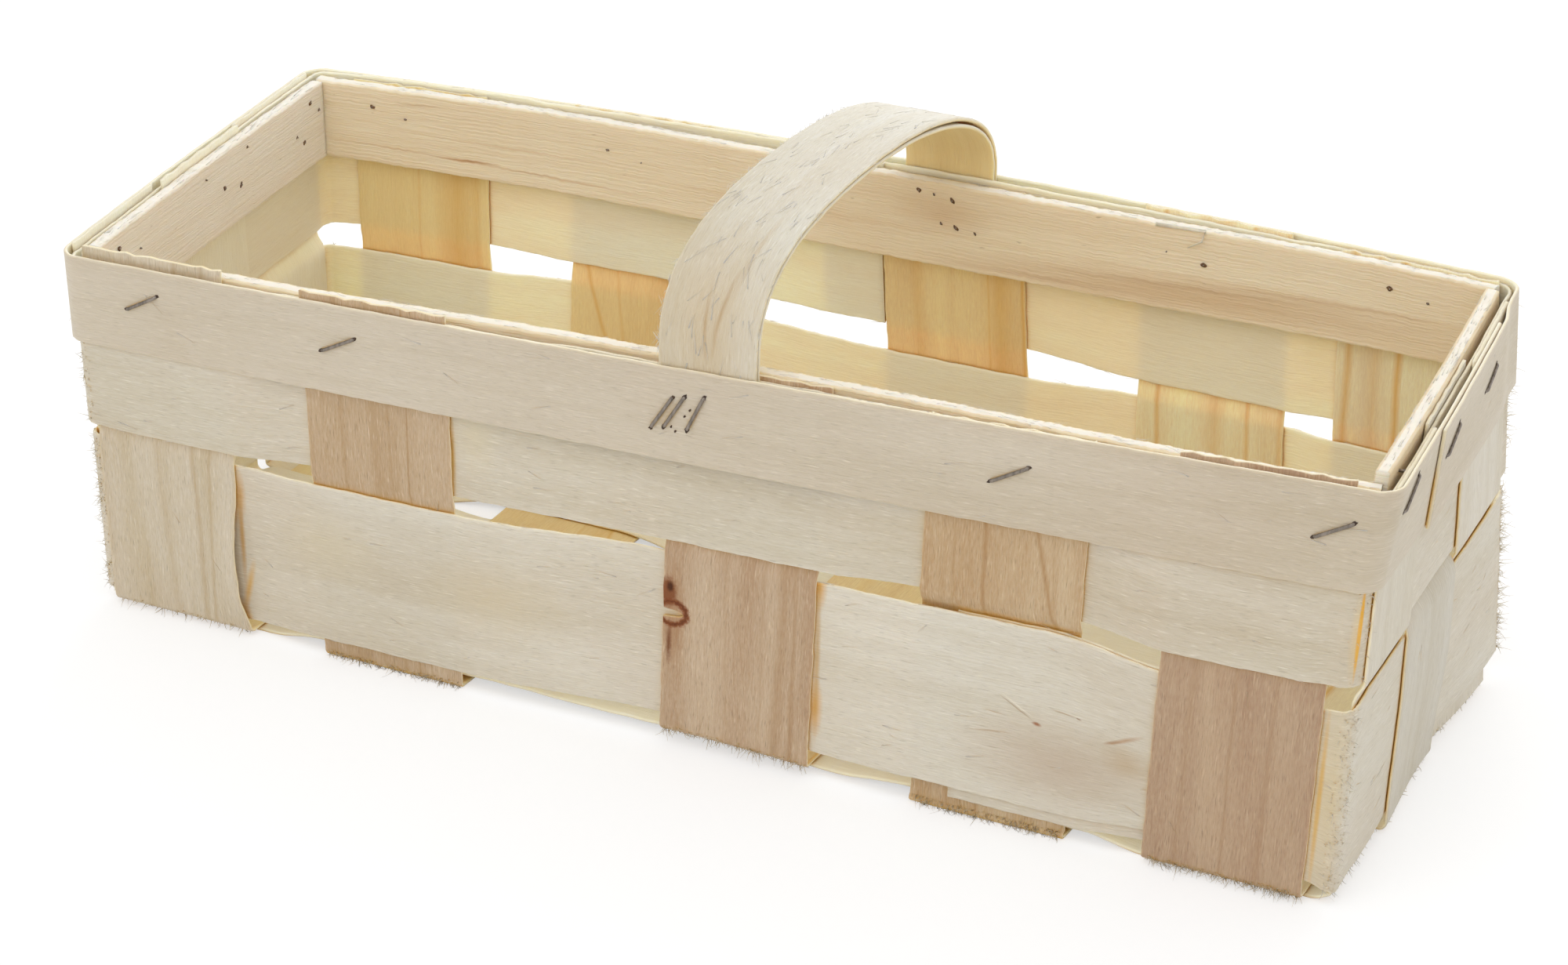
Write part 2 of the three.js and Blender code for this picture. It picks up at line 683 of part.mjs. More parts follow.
function handlePly(inset, crownDrop, parting) {
  const path = handleArch(inset, crownDrop);
  const archSteps = 18;
  const sections = [];
  path.curves.forEach((curve, part) => {
    const straight = part === 0 || part === 3;
    const steps = straight ? 2 : archSteps;
    for (let k = part === 0 ? 0 : 1; k <= steps; k += 1) {
      const at = curve.getPoint(k / steps);
      const along = curve.getTangent(k / steps);
      const out = [-along.y, along.x];
      const parted = part === 2 ? parting * Math.sin((Math.PI * k) / steps) ** 2 : 0;
      const x = handleX(at.x);
      const corner = (edge, face) => {
        const n = (face * plyThickness) / 2 - parted;
        return settle(x + edge, at.x + out[0] * n, at.y + out[1] * n);
      };
      const half = handleWidth / 2;
      sections.push([corner(-half, 1), corner(half, 1), corner(half, -1), corner(-half, -1)]);
    }
  });
  return strip(sections);
}

// Staples: a crown on the band and two legs through every layer, their tips just proud of the slat
const bandLapEdge = straightY - bandLapStart;

// The slat's inner face behind a staple, and the outer face of the band in front of it
function layersAt(wall, along) {
  const endWall = wall === 'left' || wall === 'right';
  const slat = endWall ? slatInsetEnd : slatInsetLong + push(along, wall === 'front' ? -1 : 1, slatFade);
  const lapped = wall === 'right' && along < bandLapEdge && along > bandLapEdge - bandLapLength;
  return { inner: slat + slatThickness / 2, outer: lapped ? -bandThickness - clearance : 0 };
}

// Where the middle of a stave or of a leg of the handle meets the rim
function middleAt(wall, index) {
  if (index === atHandle) {
    return handleX(wall === 'front' ? -halfWidth : halfWidth);
  }
  if (wall === 'front' || wall === 'back') {
    return crossStaves[index].x[wall];
  }
  return endY(longStaves[index], wall);
}

function widthAt(wall, index) {
  if (index === atHandle) {
    return handleWidth;
  }
  return wall === 'front' || wall === 'back' ? crossStaves[index].width : longStaveWidth;
}

function staplePath(wall, place) {
  const along = middleAt(wall, place.on) + place.aside * widthAt(wall, place.on);
  const turn = THREE.MathUtils.degToRad(place.turn);
  const { inner, outer } = layersAt(wall, along);
  const at = (across, inset, edge) => wallPoint(
    onWall[wall](along + across * Math.cos(turn) - edge * Math.sin(turn)),
    rimHeight - place.drop * bandHeight + across * Math.sin(turn) + edge * Math.cos(turn),
    inset,
  );
  return {
    at,
    half: (stapleCrown - stapleWire) / 2,
    crown: outer - clearance - stapleWire / 2,
    tip: inner + stapleTip,
  };
}

function staple(wall, place) {
  const { at, half, crown, tip } = staplePath(wall, place);
  const path = [];
  for (const side of [-1, 1]) {
    const bend = [];
    for (let k = 0; k <= stapleBendSteps; k += 1) {
      const angle = (k / stapleBendSteps) * (Math.PI / 2);
      const [cos, sin] = [Math.cos(angle), Math.sin(angle)];
      const across = side * (half - stapleBend * (1 - cos));
      bend.push({ across, inset: crown + stapleBend * (1 - sin), out: [side * cos, -sin] });
    }
    const leg = { across: side * half, inset: tip, out: [side, 0] };
    path.push(...(side < 0 ? [leg, ...bend] : [...bend.reverse(), leg]));
  }
  const w = stapleWire / 2;
  return strip(path.map(({ across, inset, out }) => {
    const corner = (face, edge) => at(across + face * w * out[0], inset + face * w * out[1], edge * w);
    return [corner(1, -1), corner(1, 1), corner(-1, 1), corner(-1, -1)];
  }));
}

function stapleHoles(wall, place) {
  const { at, half, crown, tip } = staplePath(wall, place);
  const room = stapleWire / 2 + clearance;
  return [-half, half].map((middle) => strip([crown - room, tip + room].map((inset) => {
    const corner = (face, edge) => at(middle + face * room, inset, edge * room);
    return [corner(1, -1), corner(1, 1), corner(-1, 1), corner(-1, -1)];
  })));
}

// Assembly
const basket = new THREE.Group();
const staples = new THREE.Group();
basket.add(staples);

const wood = {
  band: { color: 0xcbbfad, roughness: 0.72 },
  weaver: { color: 0xcfc3ae, roughness: 0.75 },
  stave: { color: 0xbba487, roughness: 0.78 },
  slat: { color: 0xd3c09c, roughness: 0.7 },
  handle: { color: 0xd8cdbc, roughness: 0.7 },
};
const steel = { color: 0x6b5e58, roughness: 0.4, metalness: 0.9 };
const holes = [];

function add(group, name, geometry, look) {
  const mesh = new THREE.Mesh(geometry, new THREE.MeshStandardMaterial({ metalness: 0, ...look }));
  geometry.computeVertexNormals();
  mesh.name = name;
  group.add(mesh);
}

function addWood(name, geometry, look) {
  geometry.computeBoundingBox();
  const near = holes.filter((hole) => hole.boundingBox.intersectsBox(geometry.boundingBox));
  if (near.length === 0) {
    add(basket, name, geometry, look);
    return;
  }
  let solid = toSolid(geometry);
  for (const hole of near) {
    solid = solid.subtract(toSolid(hole));
  }
  add(basket, name, fromSolid(solid), look);
}

for (const [wall, row] of Object.entries(stapleRows)) {
  row.forEach((place, i) => {
    add(staples, `${wall}_staple_${i + 1}`, staple(wall, place), steel);
    for (const hole of stapleHoles(wall, place)) {
      hole.computeBoundingBox();
      holes.push(hole);
    }
  });
}

for (const stave of crossStaves) {
  addWood(stave.name, crossStave(stave), wood.stave);
}
for (const stave of longStaves) {
  addWood(stave.name, longStave(stave), wood.stave);
}

const lowerStart = onWall.front(lapFrom);
addWood('lower_weaver', weaver(lowerCourse, lowerStart, lowerLapLength, []), wood.weaver);
const lapStave = crossStaves[2];
const lapEdge = crossX(lapStave, 'back', (upperEdges[0] + upperEdges[1]) / 2) - lapStave.width / 2;
const upperStart = onWall.back(lapEdge - upperLapStart);
addWood('upper_weaver', weaver(upperCourse, upperStart, upperLapLength, [bandFoot]), wood.weaver);

addWood('rim_band', rimBand(), wood.band);
const slatEndX = halfLength - slatInsetEnd + slatThickness / 2;
const slatEndY = halfWidth - slatInsetLong - slatThickness / 2 - clearance;
for (const [wall, drop] of Object.entries(slatDrop)) {
  const end = wall === 'left' || wall === 'right';
  const half = end ? slatEndY : slatEndX;
  const inset = end ? slatInsetEnd : slatInsetLong;
  addWood(`${wall}_rim_slat`, rimSlat(wall, half, inset, end ? 0 : slatFade, drop), wood.slat);
}

addWood('handle_outer_ply', handlePly(outerPlyInset, 0, 0), wood.handle);
addWood('handle_inner_ply', handlePly(innerPlyInset, plyThickness + clearance, handlePlyParting), wood.handle);

export default basket;
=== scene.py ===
import functools
import math

import bpy
import numpy as np
from mathutils import Matrix, Vector


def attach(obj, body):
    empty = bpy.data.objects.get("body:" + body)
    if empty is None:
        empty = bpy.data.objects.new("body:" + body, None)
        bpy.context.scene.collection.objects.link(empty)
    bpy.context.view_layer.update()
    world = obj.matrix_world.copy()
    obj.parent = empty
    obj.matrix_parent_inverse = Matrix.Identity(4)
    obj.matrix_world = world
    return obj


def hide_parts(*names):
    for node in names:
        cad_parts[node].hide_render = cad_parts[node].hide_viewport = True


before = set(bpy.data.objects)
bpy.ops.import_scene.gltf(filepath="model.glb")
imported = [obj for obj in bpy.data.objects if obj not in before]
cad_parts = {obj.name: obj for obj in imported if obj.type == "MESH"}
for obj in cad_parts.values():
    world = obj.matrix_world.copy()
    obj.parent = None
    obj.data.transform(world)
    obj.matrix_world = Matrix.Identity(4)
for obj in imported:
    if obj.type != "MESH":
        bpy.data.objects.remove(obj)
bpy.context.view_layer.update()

bl_info = {
    "name": "Chip-wood fruit basket",
    "version": (1, 0, 0),
    "blender": (4, 5, 0),
    "location": "3D View > Sidebar > Basket",
    "description": "Peeled veneer strips, stapled rim, arched handle and a plain stage",
    "category": "Add Mesh",
}

# ---------------------------------------------------------------- sizes, in millimetres
RIM_LENGTH, RIM_WIDTH, RIM_HEIGHT = 400.0, 141.0, 123.0
# radius of the walls' corners, radius of the staves' folds, and the room that the folds take from the floor
CORNER_RADIUS, FOOT_RADIUS, FOOT_ROOM = 6.5, 1.6, 3.5
# how much shorter and narrower than the rim the foot is at each end: it is longer and wider
TAPER_LENGTH, TAPER_WIDTH = -1.2, -0.7
VENEER, BAND_THICKNESS, PLY_THICKNESS, SLAT_THICKNESS, CLEARANCE = 1.0, 1.1, 1.2, 4.0, 0.3
BAND_HEIGHT, BAND_LAP_START, BAND_LAP_LENGTH = 29.0, 23.0, 70.0
# a strip steps out over its own start on a ramp, which ends a little before that start
LAP_RAMP, LAP_LANDING = 14.0, 1.5
# height of the slats, and how far the two ends of each lie below the rim
SLAT_HEIGHT = 26.0
SLAT_DROP = {"front": (1.6, 0.5), "back": (0.5, 0.5), "left": (0.5, 0.5), "right": (0.5, -1.6)}
# the weaving strips keep their place for WEAVER_HOLD past each stave that they cross
LOWER_FOOT, LOWER_HEIGHT, WEAVER_GAP, WEAVER_HOLD = 5.5, 55.5, 4.6, 1.2
UPPER_DROP = 1.6
# the inner layer of the lower weaver's lap sags by LAP_DROP, from just before that strip's start
LOWER_LAP_START, LOWER_LAP_LENGTH, LAP_DROP, DROP_FROM, DROP_OVER = 28.5, 83.0, 4.0, 9.0, 8.0
UPPER_LAP_START, UPPER_LAP_LENGTH = 20.0, 19.7
CROSS_WIDTH, CROSS_MARGIN, LONG_GAP = 46.5, 0.6, 1.4
# a stave that hangs low under the front wall: level for HANG_RUN, level again HANG_FADE behind, gone by HANG_TOP
HANG_RUN, HANG_FADE, HANG_TOP = 12.0, 10.0, 50.0
HANDLE_WIDTH, HANDLE_FRONT_X, HANDLE_BACK_X = 29.0, 6.3, 21.3
HANDLE_RISE, HANDLE_SPRINGING, CROWN_SHIFT = 37.0, 3.0, -6.0
# length of the arch's tangents as a share of its half spans
FULLNESS_FRONT, FULLNESS_BACK = 0.71, 0.6
# how far the plies part behind the crown, and how far the legs stop above the band's lower edge
PLY_PARTING, HANDLE_COVER = 0.6, 2.0
# beside a leg of the handle the weave is pushed in for PUSH_MARGIN, then comes back over a fade
PUSH_MARGIN, PUSH_FADE, SLAT_FADE = 17.0, 30.0, 115.0
STAPLE_CROWN, STAPLE_WIRE, STAPLE_BEND, STAPLE_TIP = 12.7, 0.9, 1.0, 0.5
# the broken-out notch in the middle stave, and the share of the stave's width that it bends
NOTCH_TALL, NOTCH_DEEP, NOTCH_SHARE = 3.0, 6.4, 0.34
# the first stave's right edge, given by height: wider at the foot, narrower at its waist, and curled off the wall
WIDER, WIDER_TOP, WAIST, WAIST_AT, WAIST_SPREAD = 2.0, 18.0, 0.6, 32.0, 22.0
CURL, CURL_SHARE, CURL_RISE, CURL_TOP, CURL_FALL = 2.6, 0.26, 16.0, 56.0, 26.0
# how far the torn ends of the cross staves and of the long staves go up and down
TEAR_CROSS, TEAR_LONG = 0.45, 0.4
# where each corner of the rim strays to along X, Y and Z, each corner of the foot along X and Y, and the walls' bows
RIM_STRAY = {"FL": (-1.0, -5.5, 0), "FR": (1.2, 6, 5.6), "BR": (-3, -1.5, 5.6), "BL": (-1.8, 2.4, 0)}
FOOT_STRAY = {"FL": (-4.0, 2), "FR": (-3, -2.5), "BR": (3.5, -1), "BL": (0, 0)}
BOW = {"front": 2.0, "back": 9.0, "left": 0.9, "right": 0.8}
# the lower front right corner is pressed in, less and less over FLARE_FADE
CORNER_FLARE, FLARE_FADE = 3.0, 28.0
# the front wall's foot stands off the ground and the right wall's foot is tucked in: how far, where, and how widely
FOOT_LIFT, LIFT_AT, LIFT_SPREAD = 2.8, 4.0, 45.0
FOOT_TUCK, TUCK_AT, TUCK_SPREAD = 3.6, 8.0, 30.0
# both start at a distance from the box's middle, grow over a second one, and fade out up to a height
LIFT_FROM, LIFT_OVER, TUCK_FROM, TUCK_OVER, LOW_TOP = 10, 45, 90, 90, 45
# nothing lies lower than this: what touches the ground lies flat on it
GROUND, FIBRE_GROUND = 0.02, 0.05
# how far apart a strip's points are along it: straight, round a corner, at a fold, at the notch and along a slat
STEP, STEP_CORNER, STEP_FOLD, STEP_NOTCH, STEP_SLAT = 2.4, 0.8, 0.3, 0.16, 1.0
# stations nearer than this to the one before are left out
NEAREST = 0.12
# longest wave of a strip's ripple, and how round a strip's edges are
RIPPLE_WAVE, EDGE_ROUNDING = 45.0, 0.35

# where strips cross, the weaving strip swings by its share and the stave by the rest
CROSSING = VENEER + CLEARANCE
WEAVER_SWING = 0.65 * CROSSING
STAVE_SWING = CROSSING - WEAVER_SWING
HALF_LONG = WEAVER_SWING + VENEER / 2
HALF_END = CROSSING + VENEER / 2
# from the band's outer face to the middle of the weave, the slats and the plies
INSET_LONG = BAND_THICKNESS + CLEARANCE + HALF_LONG
INSET_END = BAND_THICKNESS + CLEARANCE + HALF_END
SLAT_INSET_LONG = INSET_LONG + HALF_LONG + CLEARANCE + SLAT_THICKNESS / 2
SLAT_INSET_END = INSET_END + HALF_END + CLEARANCE + SLAT_THICKNESS / 2
OUTER_PLY_INSET = BAND_THICKNESS + CLEARANCE + PLY_THICKNESS / 2
INNER_PLY_INSET = OUTER_PLY_INSET + PLY_THICKNESS + CLEARANCE
HANDLE_STACK = 2 * (PLY_THICKNESS + CLEARANCE)
FLOOR = HALF_END

HALF_L, HALF_W = RIM_LENGTH / 2, RIM_WIDTH / 2
STRAIGHT_X, STRAIGHT_Y = HALF_L - CORNER_RADIUS, HALF_W - CORNER_RADIUS
ARC = CORNER_RADIUS * math.pi / 2
PERIMETER = 4 * (STRAIGHT_X + STRAIGHT_Y) + 4 * ARC
BAND_FOOT = RIM_HEIGHT - BAND_HEIGHT
LOWER = (LOWER_FOOT, LOWER_FOOT + LOWER_HEIGHT)
UPPER = (LOWER[1] + WEAVER_GAP, RIM_HEIGHT - UPPER_DROP)
CROSS_REACH = HALF_W - INSET_LONG
LONG_REACH = HALF_L - INSET_END

# cross staves: place along the box at the front rim, front foot, back foot and back rim as a share of its length,
# how far the ends stand above the rim, how much narrower, how much lower at the front
STAVE_RUN = [
    (0.0005, 0.0005, 0.026, 0.03, 2.4, -0.8, 0, 0),
    (0.214, 0.217, 0.244, 0.256, 1.6, 0.6, 0, 1.3),
    (0.554, 0.5465, 0.57, 0.57, -1.2, -1.5, 0, 0),
    (0.779, 0.775, 0.808, 0.816, -0.9, 0.5, 0, 1.2),
    (0.984, 0.983, 0.99, 1, 0.3, -0.6, -1.2, 0),
]
# long staves: how far the ends stand above the rim, drift towards the front, how much narrower at the right
LONG_SET = {
    "front_long_stave": (0.5, -0.8, 5.1, 4.7),
    "middle_long_stave": (1.5, -0.4, 6.1, 0),
    "back_long_stave": (0.5, -0.8, 7, 0),
}
# how far the slit in the floor moves a long stave's back edge and front edge
SLIT = {"middle_long_stave": (4, 0), "back_long_stave": (0, 10)}
# where the slit starts and ends along the box, and how far it takes to open and to close
SLIT_START, SLIT_OPENS, SLIT_END, SLIT_CLOSES = -160, 45, -25, 50
# how far a weaving strip's lower and upper edge stray, at each stave from left to right or front to back
LOWER_STRAY = {
    "front": [(0, -1), (1.2, -0.5), (1.5, 2.3), (3.6, 3.4), (4.2, -3.2)],
    "back": [(0, 2), (-1, 3.1), (0.5, 1.3), (-0.5, 2.4), (0, 1.9)],
    "left": [(-0.5, -0.5), (1, 0), (-0.5, 1)],
    "right": [(-0.6, -0.9), (1, 0.1), (2.9, -1.4)],
    "corner": {"FL": (-1.5, -1), "FR": (-4.4, -3.2), "BR": (3, -0.9), "BL": (-0.5, 1)},
}
UPPER_STRAY = {
    "front": [(-1.2, 0), (0.2, 0), (2.1, -0.4), (3.2, 0), (0, -0.4)],
    "back": [(5.9, 2), (5.9, 2.4), (5.5, 1.8), (3.6, 1.2), (3.1, 0.6)],
    "left": [(0.8, 0), (1.9, 0.4), (2.6, 0.8)],
    "right": [(0, -0.6), (1, 0), (-0.6, -0.4)],
    "corner": {"FL": (-0.5, 0), "FR": (1, -0.6), "BR": (0.5, 0), "BL": (3.5, 1)},
}
# pale and dark wood of each cross stave: each was peeled from another log
STAVE_WOOD = [("#dfd5c4", "#cab99a"), ("#ddcbb2", "#c1a582"), ("#dccab0", "#bd9f80"),
              ("#dccaab", "#c1a078"), ("#d2bc9f", "#b5967b")]
# growth-ring lines on the front of each cross stave: height, place across it, slope, half width, strength
STAVE_LINES = [
    [(60, 9, 0.02, 1.4, 0.35), (50, 14.5, -0.03, 1, 0.35), (40, -2, 0.05, 1.6, 0.2)],
    [(90, 9.5, 0, 0.5, 0.6), (90, -12, 0.01, 0.9, 0.25), (90, 3.5, 0.015, 0.7, 0.25)],
    [(40, 13.5, -0.02, 3.2, 0.4), (30, 17.5, 0.01, 1.2, 0.45), (30, 8, 0.01, 1, 0.2), (60, -4, 0.03, 1, 0.2)],
    [(88, -5.2, 0.02, 0.9, 0.6), (88, 10.3, 0.24, 1.1, 0.6), (88, 14, 0.1, 0.8, 0.25), (88, -14, 0.02, 1, 0.25)],
    [(40, -2, 0.02, 0.9, 0.3), (40, 9, 0, 1.2, 0.22), (40, -14, -0.01, 1.6, 0.2)],
]
# soft amber bands on the inside of each cross stave at the back, given in the same way
INNER_LINES = [
    [(70, 12, 0, 9, 0.45), (70, -1.5, 0.01, 0.8, 0.3), (70, 19, 0, 2, 0.3)],
    [(52, -12, -0.3, 1.2, 0.6), (50, -5, -0.12, 1, 0.35), (60, 12, 0, 6, 0.3)],
    [(72, 15, 0, 7, 0.5), (72, 11, 0.01, 0.7, 0.4), (72, 22.4, 0, 1, 0.7), (70, -12, 0, 3, 0.25)],
    [(50, -16.6, 0, 1.3, 0.6), (50, 11.7, 0, 1.2, 0.55), (50, 22, 0, 1.2, 0.4), (50, 2, 0, 4, 0.25)],
    [(80, -20.3, 0.02, 1.8, 0.6), (80, -5, 0.02, 1.7, 0.8), (80, -12, 0, 3, 0.25)],
]
# the dead knot with a broken-out notch, at the left edge of the middle stave
KNOT_STAVE, KNOT_HEIGHT = 2, 44.0
# marks on the handle: way up it from its front foot, place across it, half length, half width, turn in degrees,
# how much of it is solid, strength, colour
HANDLE_MARKS = [
    (36, 0, 40, 22, 0, 0.1, 0.5, "#cdb284"), (44, 3, 16, 0.9, 6, 0.1, 0.5, "#b99562"),
    (40, -1, 14, 0.8, -5, 0.1, 0.45, "#b99562"), (62, 6, 20, 1.2, 3, 0.1, 0.35, "#c4a676"),
]
# marks on the front of the two weaving strips, given by x and height instead of the first two. The amber ones beside
# the staves' right edges are painted shade: the warm shadow beside a stave's proud edge. The orange and pale yellow
# ones at the upper strip's front right fold are painted light coming through that fold.
LOWER_MARKS_AND_SHADE = [
    (-145.3, 51, 2, 9.5, 0, 0.1, 0.6, "#d09a3e"), (-144.6, 18, 1.6, 12, 13, 0.15, 0.7, "#dcab48"),
    (-145.8, 36, 1.2, 20, 0, 0.2, 0.7, "#c9963c"),
    (40.8, 60, 2.6, 8.5, 0, 0.1, 0.85, "#dba850"), (40.6, 21, 2.5, 11, 0, 0.1, 0.85, "#dda850"),
    (40.8, 36, 1.1, 30, 0, 0.2, 0.6, "#c9a364"), (189.6, 32, 1.2, 34, 0, 0.3, 0.85, "#e0b45e"),
    (114, 21, 34, 17, 0, 0.1, 0.5, "#c0a78e"), (133, 27, 8, 6.5, 20, 0.1, 0.55, "#c8af8c"),
    (193, 34, 8, 40, 0, 0.2, 0.45, "#dcc795"), (101, 35.9, 6.6, 0.34, 29.5, 0.5, 0.6, "#b39a78"),
    (101.4, 36.6, 6.2, 0.25, 29.5, 0.4, 0.7, "#f3ead6"), (107.3, 32.2, 1.7, 0.7, 10, 0.3, 0.85, "#a4673c"),
    (115, 37.6, 4.6, 0.3, 3, 0.3, 0.6, "#b08c62"), (119.2, 37.2, 1, 0.3, 10, 0.4, 0.7, "#8f6338"),
    (94.5, 33, 3.8, 0.3, 4, 0.3, 0.5, "#b9966a"), (94, 27, 7.5, 0.4, -8, 0.3, 0.5, "#bb9c74"),
    (132, 34.6, 7.2, 1, -29, 0.1, 0.65, "#b98d62"), (129, 33, 3, 0.8, -24, 0.3, 0.5, "#a87c50"),
    (-60, 34, 30, 16, 0, 0.1, 0.35, "#dccca8"), (-115, 40, 20, 14, 0, 0.1, 0.35, "#ded0ae"),
]
UPPER_MARKS_LIGHT_AND_SHADE = [
    (-73.3, 79, 1.1, 15, 0, 0.2, 0.75, "#c8a158"), (98.4, 85, 1.8, 9, 0, 0.1, 0.85, "#d6a44c"),
    (98.2, 78, 1, 14, 0, 0.2, 0.7, "#c9a156"), (197.2, 82, 1.2, 15.5, 1, 0.55, 0.95, "#eab02e"),
    (196, 80, 3, 15, 0, 0.2, 0.4, "#e6c98a"), (104, 84, 5, 14, 0, 0.1, 0.4, "#e0d0a6"),
    (75, 90, 10, 16, 0, 0.1, 0.35, "#e2d4b0"), (-66, 88, 8, 16, 0, 0.1, 0.4, "#e0d3b0"),
]
# marks on the inside of the back slat, given in the same way: growth-ring lines cut at a slant, a browner lower half
BACK_SLAT_MARKS = [
    (-140.7, 102.3, 13, 0.8, 1, 0.1, 0.8, "#bd8850"), (-112, 101.4, 50, 0.55, -1, 0.1, 0.5, "#cba377"),
    (-165, 102.6, 20, 0.5, -1, 0.1, 0.45, "#cba377"), (-122, 108.8, 42, 0.5, 0, 0.1, 0.5, "#cfab80"),
    (-157, 118.6, 10, 0.5, 3, 0.1, 0.5, "#c9a57c"), (-92, 95.9, 24, 0.9, 1, 0.1, 0.6, "#c69a78"),
    (104, 102.5, 95, 6.5, 2, 0.2, 0.5, "#cba678"), (100, 104.4, 62, 1.1, 2, 0.1, 0.3, "#b58d60"),
    (55, 99.2, 40, 1, 1, 0.1, 0.3, "#bd9468"), (140, 107.5, 46, 0.9, 2, 0.1, 0.3, "#bd9468"),
    (22, 113, 18, 7, 0, 0.1, 0.4, "#d0ab80"), (-30, 106, 50, 6, 2, 0.1, 0.3, "#d8b890"),
]
AT_HANDLE = -1
# staples on each wall: number of the stave or AT_HANDLE, aside as a share of its width, drop as a share of the band,
# turn in degrees
STAPLE_ROWS = {
    "front": [(0, -0.05, 0.39, 30), (1, -0.22, 0.43, 28), (AT_HANDLE, -0.43, 0.49, 58),
              (AT_HANDLE, -0.3, 0.46, 59), (AT_HANDLE, -0.08, 0.44, 65), (3, 0.01, 0.46, 29),
              (4, 0.42, 0.43, 27)],
    "right": [(0, -0.19, 0.2, 32), (1, -0.28, 0.27, 24), (2, -0.27, 0.31, 16)],
    "back": [(0, -0.18, 0.29, -13), (1, -0.06, 0.35, -11), (AT_HANDLE, -0.12, 0.28, -52),
             (AT_HANDLE, 0.05, 0.3, -52), (AT_HANDLE, 0.26, 0.33, -50), (3, -0.17, 0.33, -10),
             (4, -0.04, 0.28, -10)],
    "left": [(0, -0.08, 0.29, -25), (1, 0, 0.3, -37), (1, 0.38, 0.33, 66), (2, 0.16, 0.31, 44),
             (2, 0.26, 0.44, 39)],
}

# the middle long stave was peeled nearer the heart of the log, and has this share of the others' brightness
HEART_SHADE = 0.88
# the palest painted light on inner faces, the left slat, amber lines inside, cut edges, painted amber shade in creases
# and the split tops of slats
PALEST_INSIDE_LIT, LEFT_SLAT, AMBER_LINE, CUT_EDGE, CREASE_SHADE, SPLIT_TOP = (
    "#fff6d2", "#f3ecde", "#e0b25c", "#f4e9cd", "#e2b34a", "#f3eee2")
# fibres torn from staves and from corners; pale and dark wood crushed by the crowns and torn by the tips, darkened
# with painted shade of the staple holes
STAVE_FIBRE, CORNER_FIBRE = "#cbb698", "#d3c8b6"
CRUSHED_AND_SHADE, TORN_AND_SHADE = ("#5c4a3d", "#3a2c24"), ("#8a6a4a", "#4f382a")

# the camera: degrees round from the front, up and rolled; metres from its target; focal length in picture widths,
# and width of the sensor in millimetres
AZIMUTH, ELEVATION, ROLL, DISTANCE = 24.44, 29.404, -0.21, 1.1931
TARGET, FOCAL, SENSOR = (-0.002295, -0.000135, 0.052738), 5119.06 / 2000, 36.0
# the lamps: name, place and side in metres, power in watts; all point at one spot, and the floor is FLOOR_SIDE wide
LAMPS = [("softbox_front", (-0.15, -1.0, 1.35), 1.4, 5.4), ("softbox_behind", (-0.05, 1.6, 0.6), 1.3, 12.0)]
LIT_SPOT, FLOOR_SIDE = (0, 0, 0.05), 8.0

# ---------------------------------------------------------------- shape of the box


def smooth(t):
    """Eases from 0 to 1: 3t^2 - 2t^3, held at both ends."""
    t = np.clip(t, 0, 1)
    return t * t * (3 - 2 * t)


def lerp(a, b, t):
    """From a to b in step with t: a + (b - a) t."""
    return a + (b - a) * t


def bell(t):
    """Falls from 1 to 0 on either side of 0: e to the power of -t^2."""
    return np.exp(-t * t)


# the walk round the rim, along the right, front, left and back wall: where each wall starts on the walk and in plan,
# its length, which way it runs, which way it faces, and whether it is an end wall
FIRST = np.array([(HALF_L, STRAIGHT_Y), (STRAIGHT_X, -HALF_W), (-HALF_L, -STRAIGHT_Y), (-STRAIGHT_X, HALF_W)])
RUNS = np.array([2 * STRAIGHT_Y, 2 * STRAIGHT_X, 2 * STRAIGHT_Y, 2 * STRAIGHT_X])
STARTS = np.concatenate([[0], np.cumsum(RUNS + ARC)[:-1]])
WAY = np.array([(0, -1), (-1, 0), (0, 1), (1, 0)])
OUT = np.array([(1, 0), (0, -1), (-1, 0), (0, 1)])
END = np.array([1, 0, 1, 0])
# from a place on a wall, and from a corner, to the way walked
ON_WALL = {
    "right": lambda y: STARTS[0] + STRAIGHT_Y - y,
    "front": lambda x: STARTS[1] + STRAIGHT_X - x,
    "left": lambda y: STARTS[2] + y + STRAIGHT_Y,
    "back": lambda x: STARTS[3] + x + STRAIGHT_X,
}
ON_CORNER = {name: STARTS[i] + RUNS[i] + ARC / 2 for i, name in enumerate(("FR", "FL", "BL", "BR"))}


def plan(s):
    """Walks round the rim: straight along a wall, then a quarter circle; returns x, y, the outward normal and how
    much of an end wall it is."""
    along = np.mod(s, PERIMETER)
    i = np.searchsorted(STARTS, along, side="right") - 1
    j = (i + 1) % 4
    d = along - STARTS[i]
    share = np.clip((d - RUNS[i]) / ARC, 0, 1)
    turn = share * math.pi / 2
    out = OUT[i] * np.cos(turn)[..., None] + OUT[j] * np.sin(turn)[..., None]
    at = FIRST[i] + WAY[i] * np.minimum(d, RUNS[i])[..., None] + (out - OUT[i]) * CORNER_RADIUS
    return at[..., 0], at[..., 1], out, lerp(END[i], END[j], share)


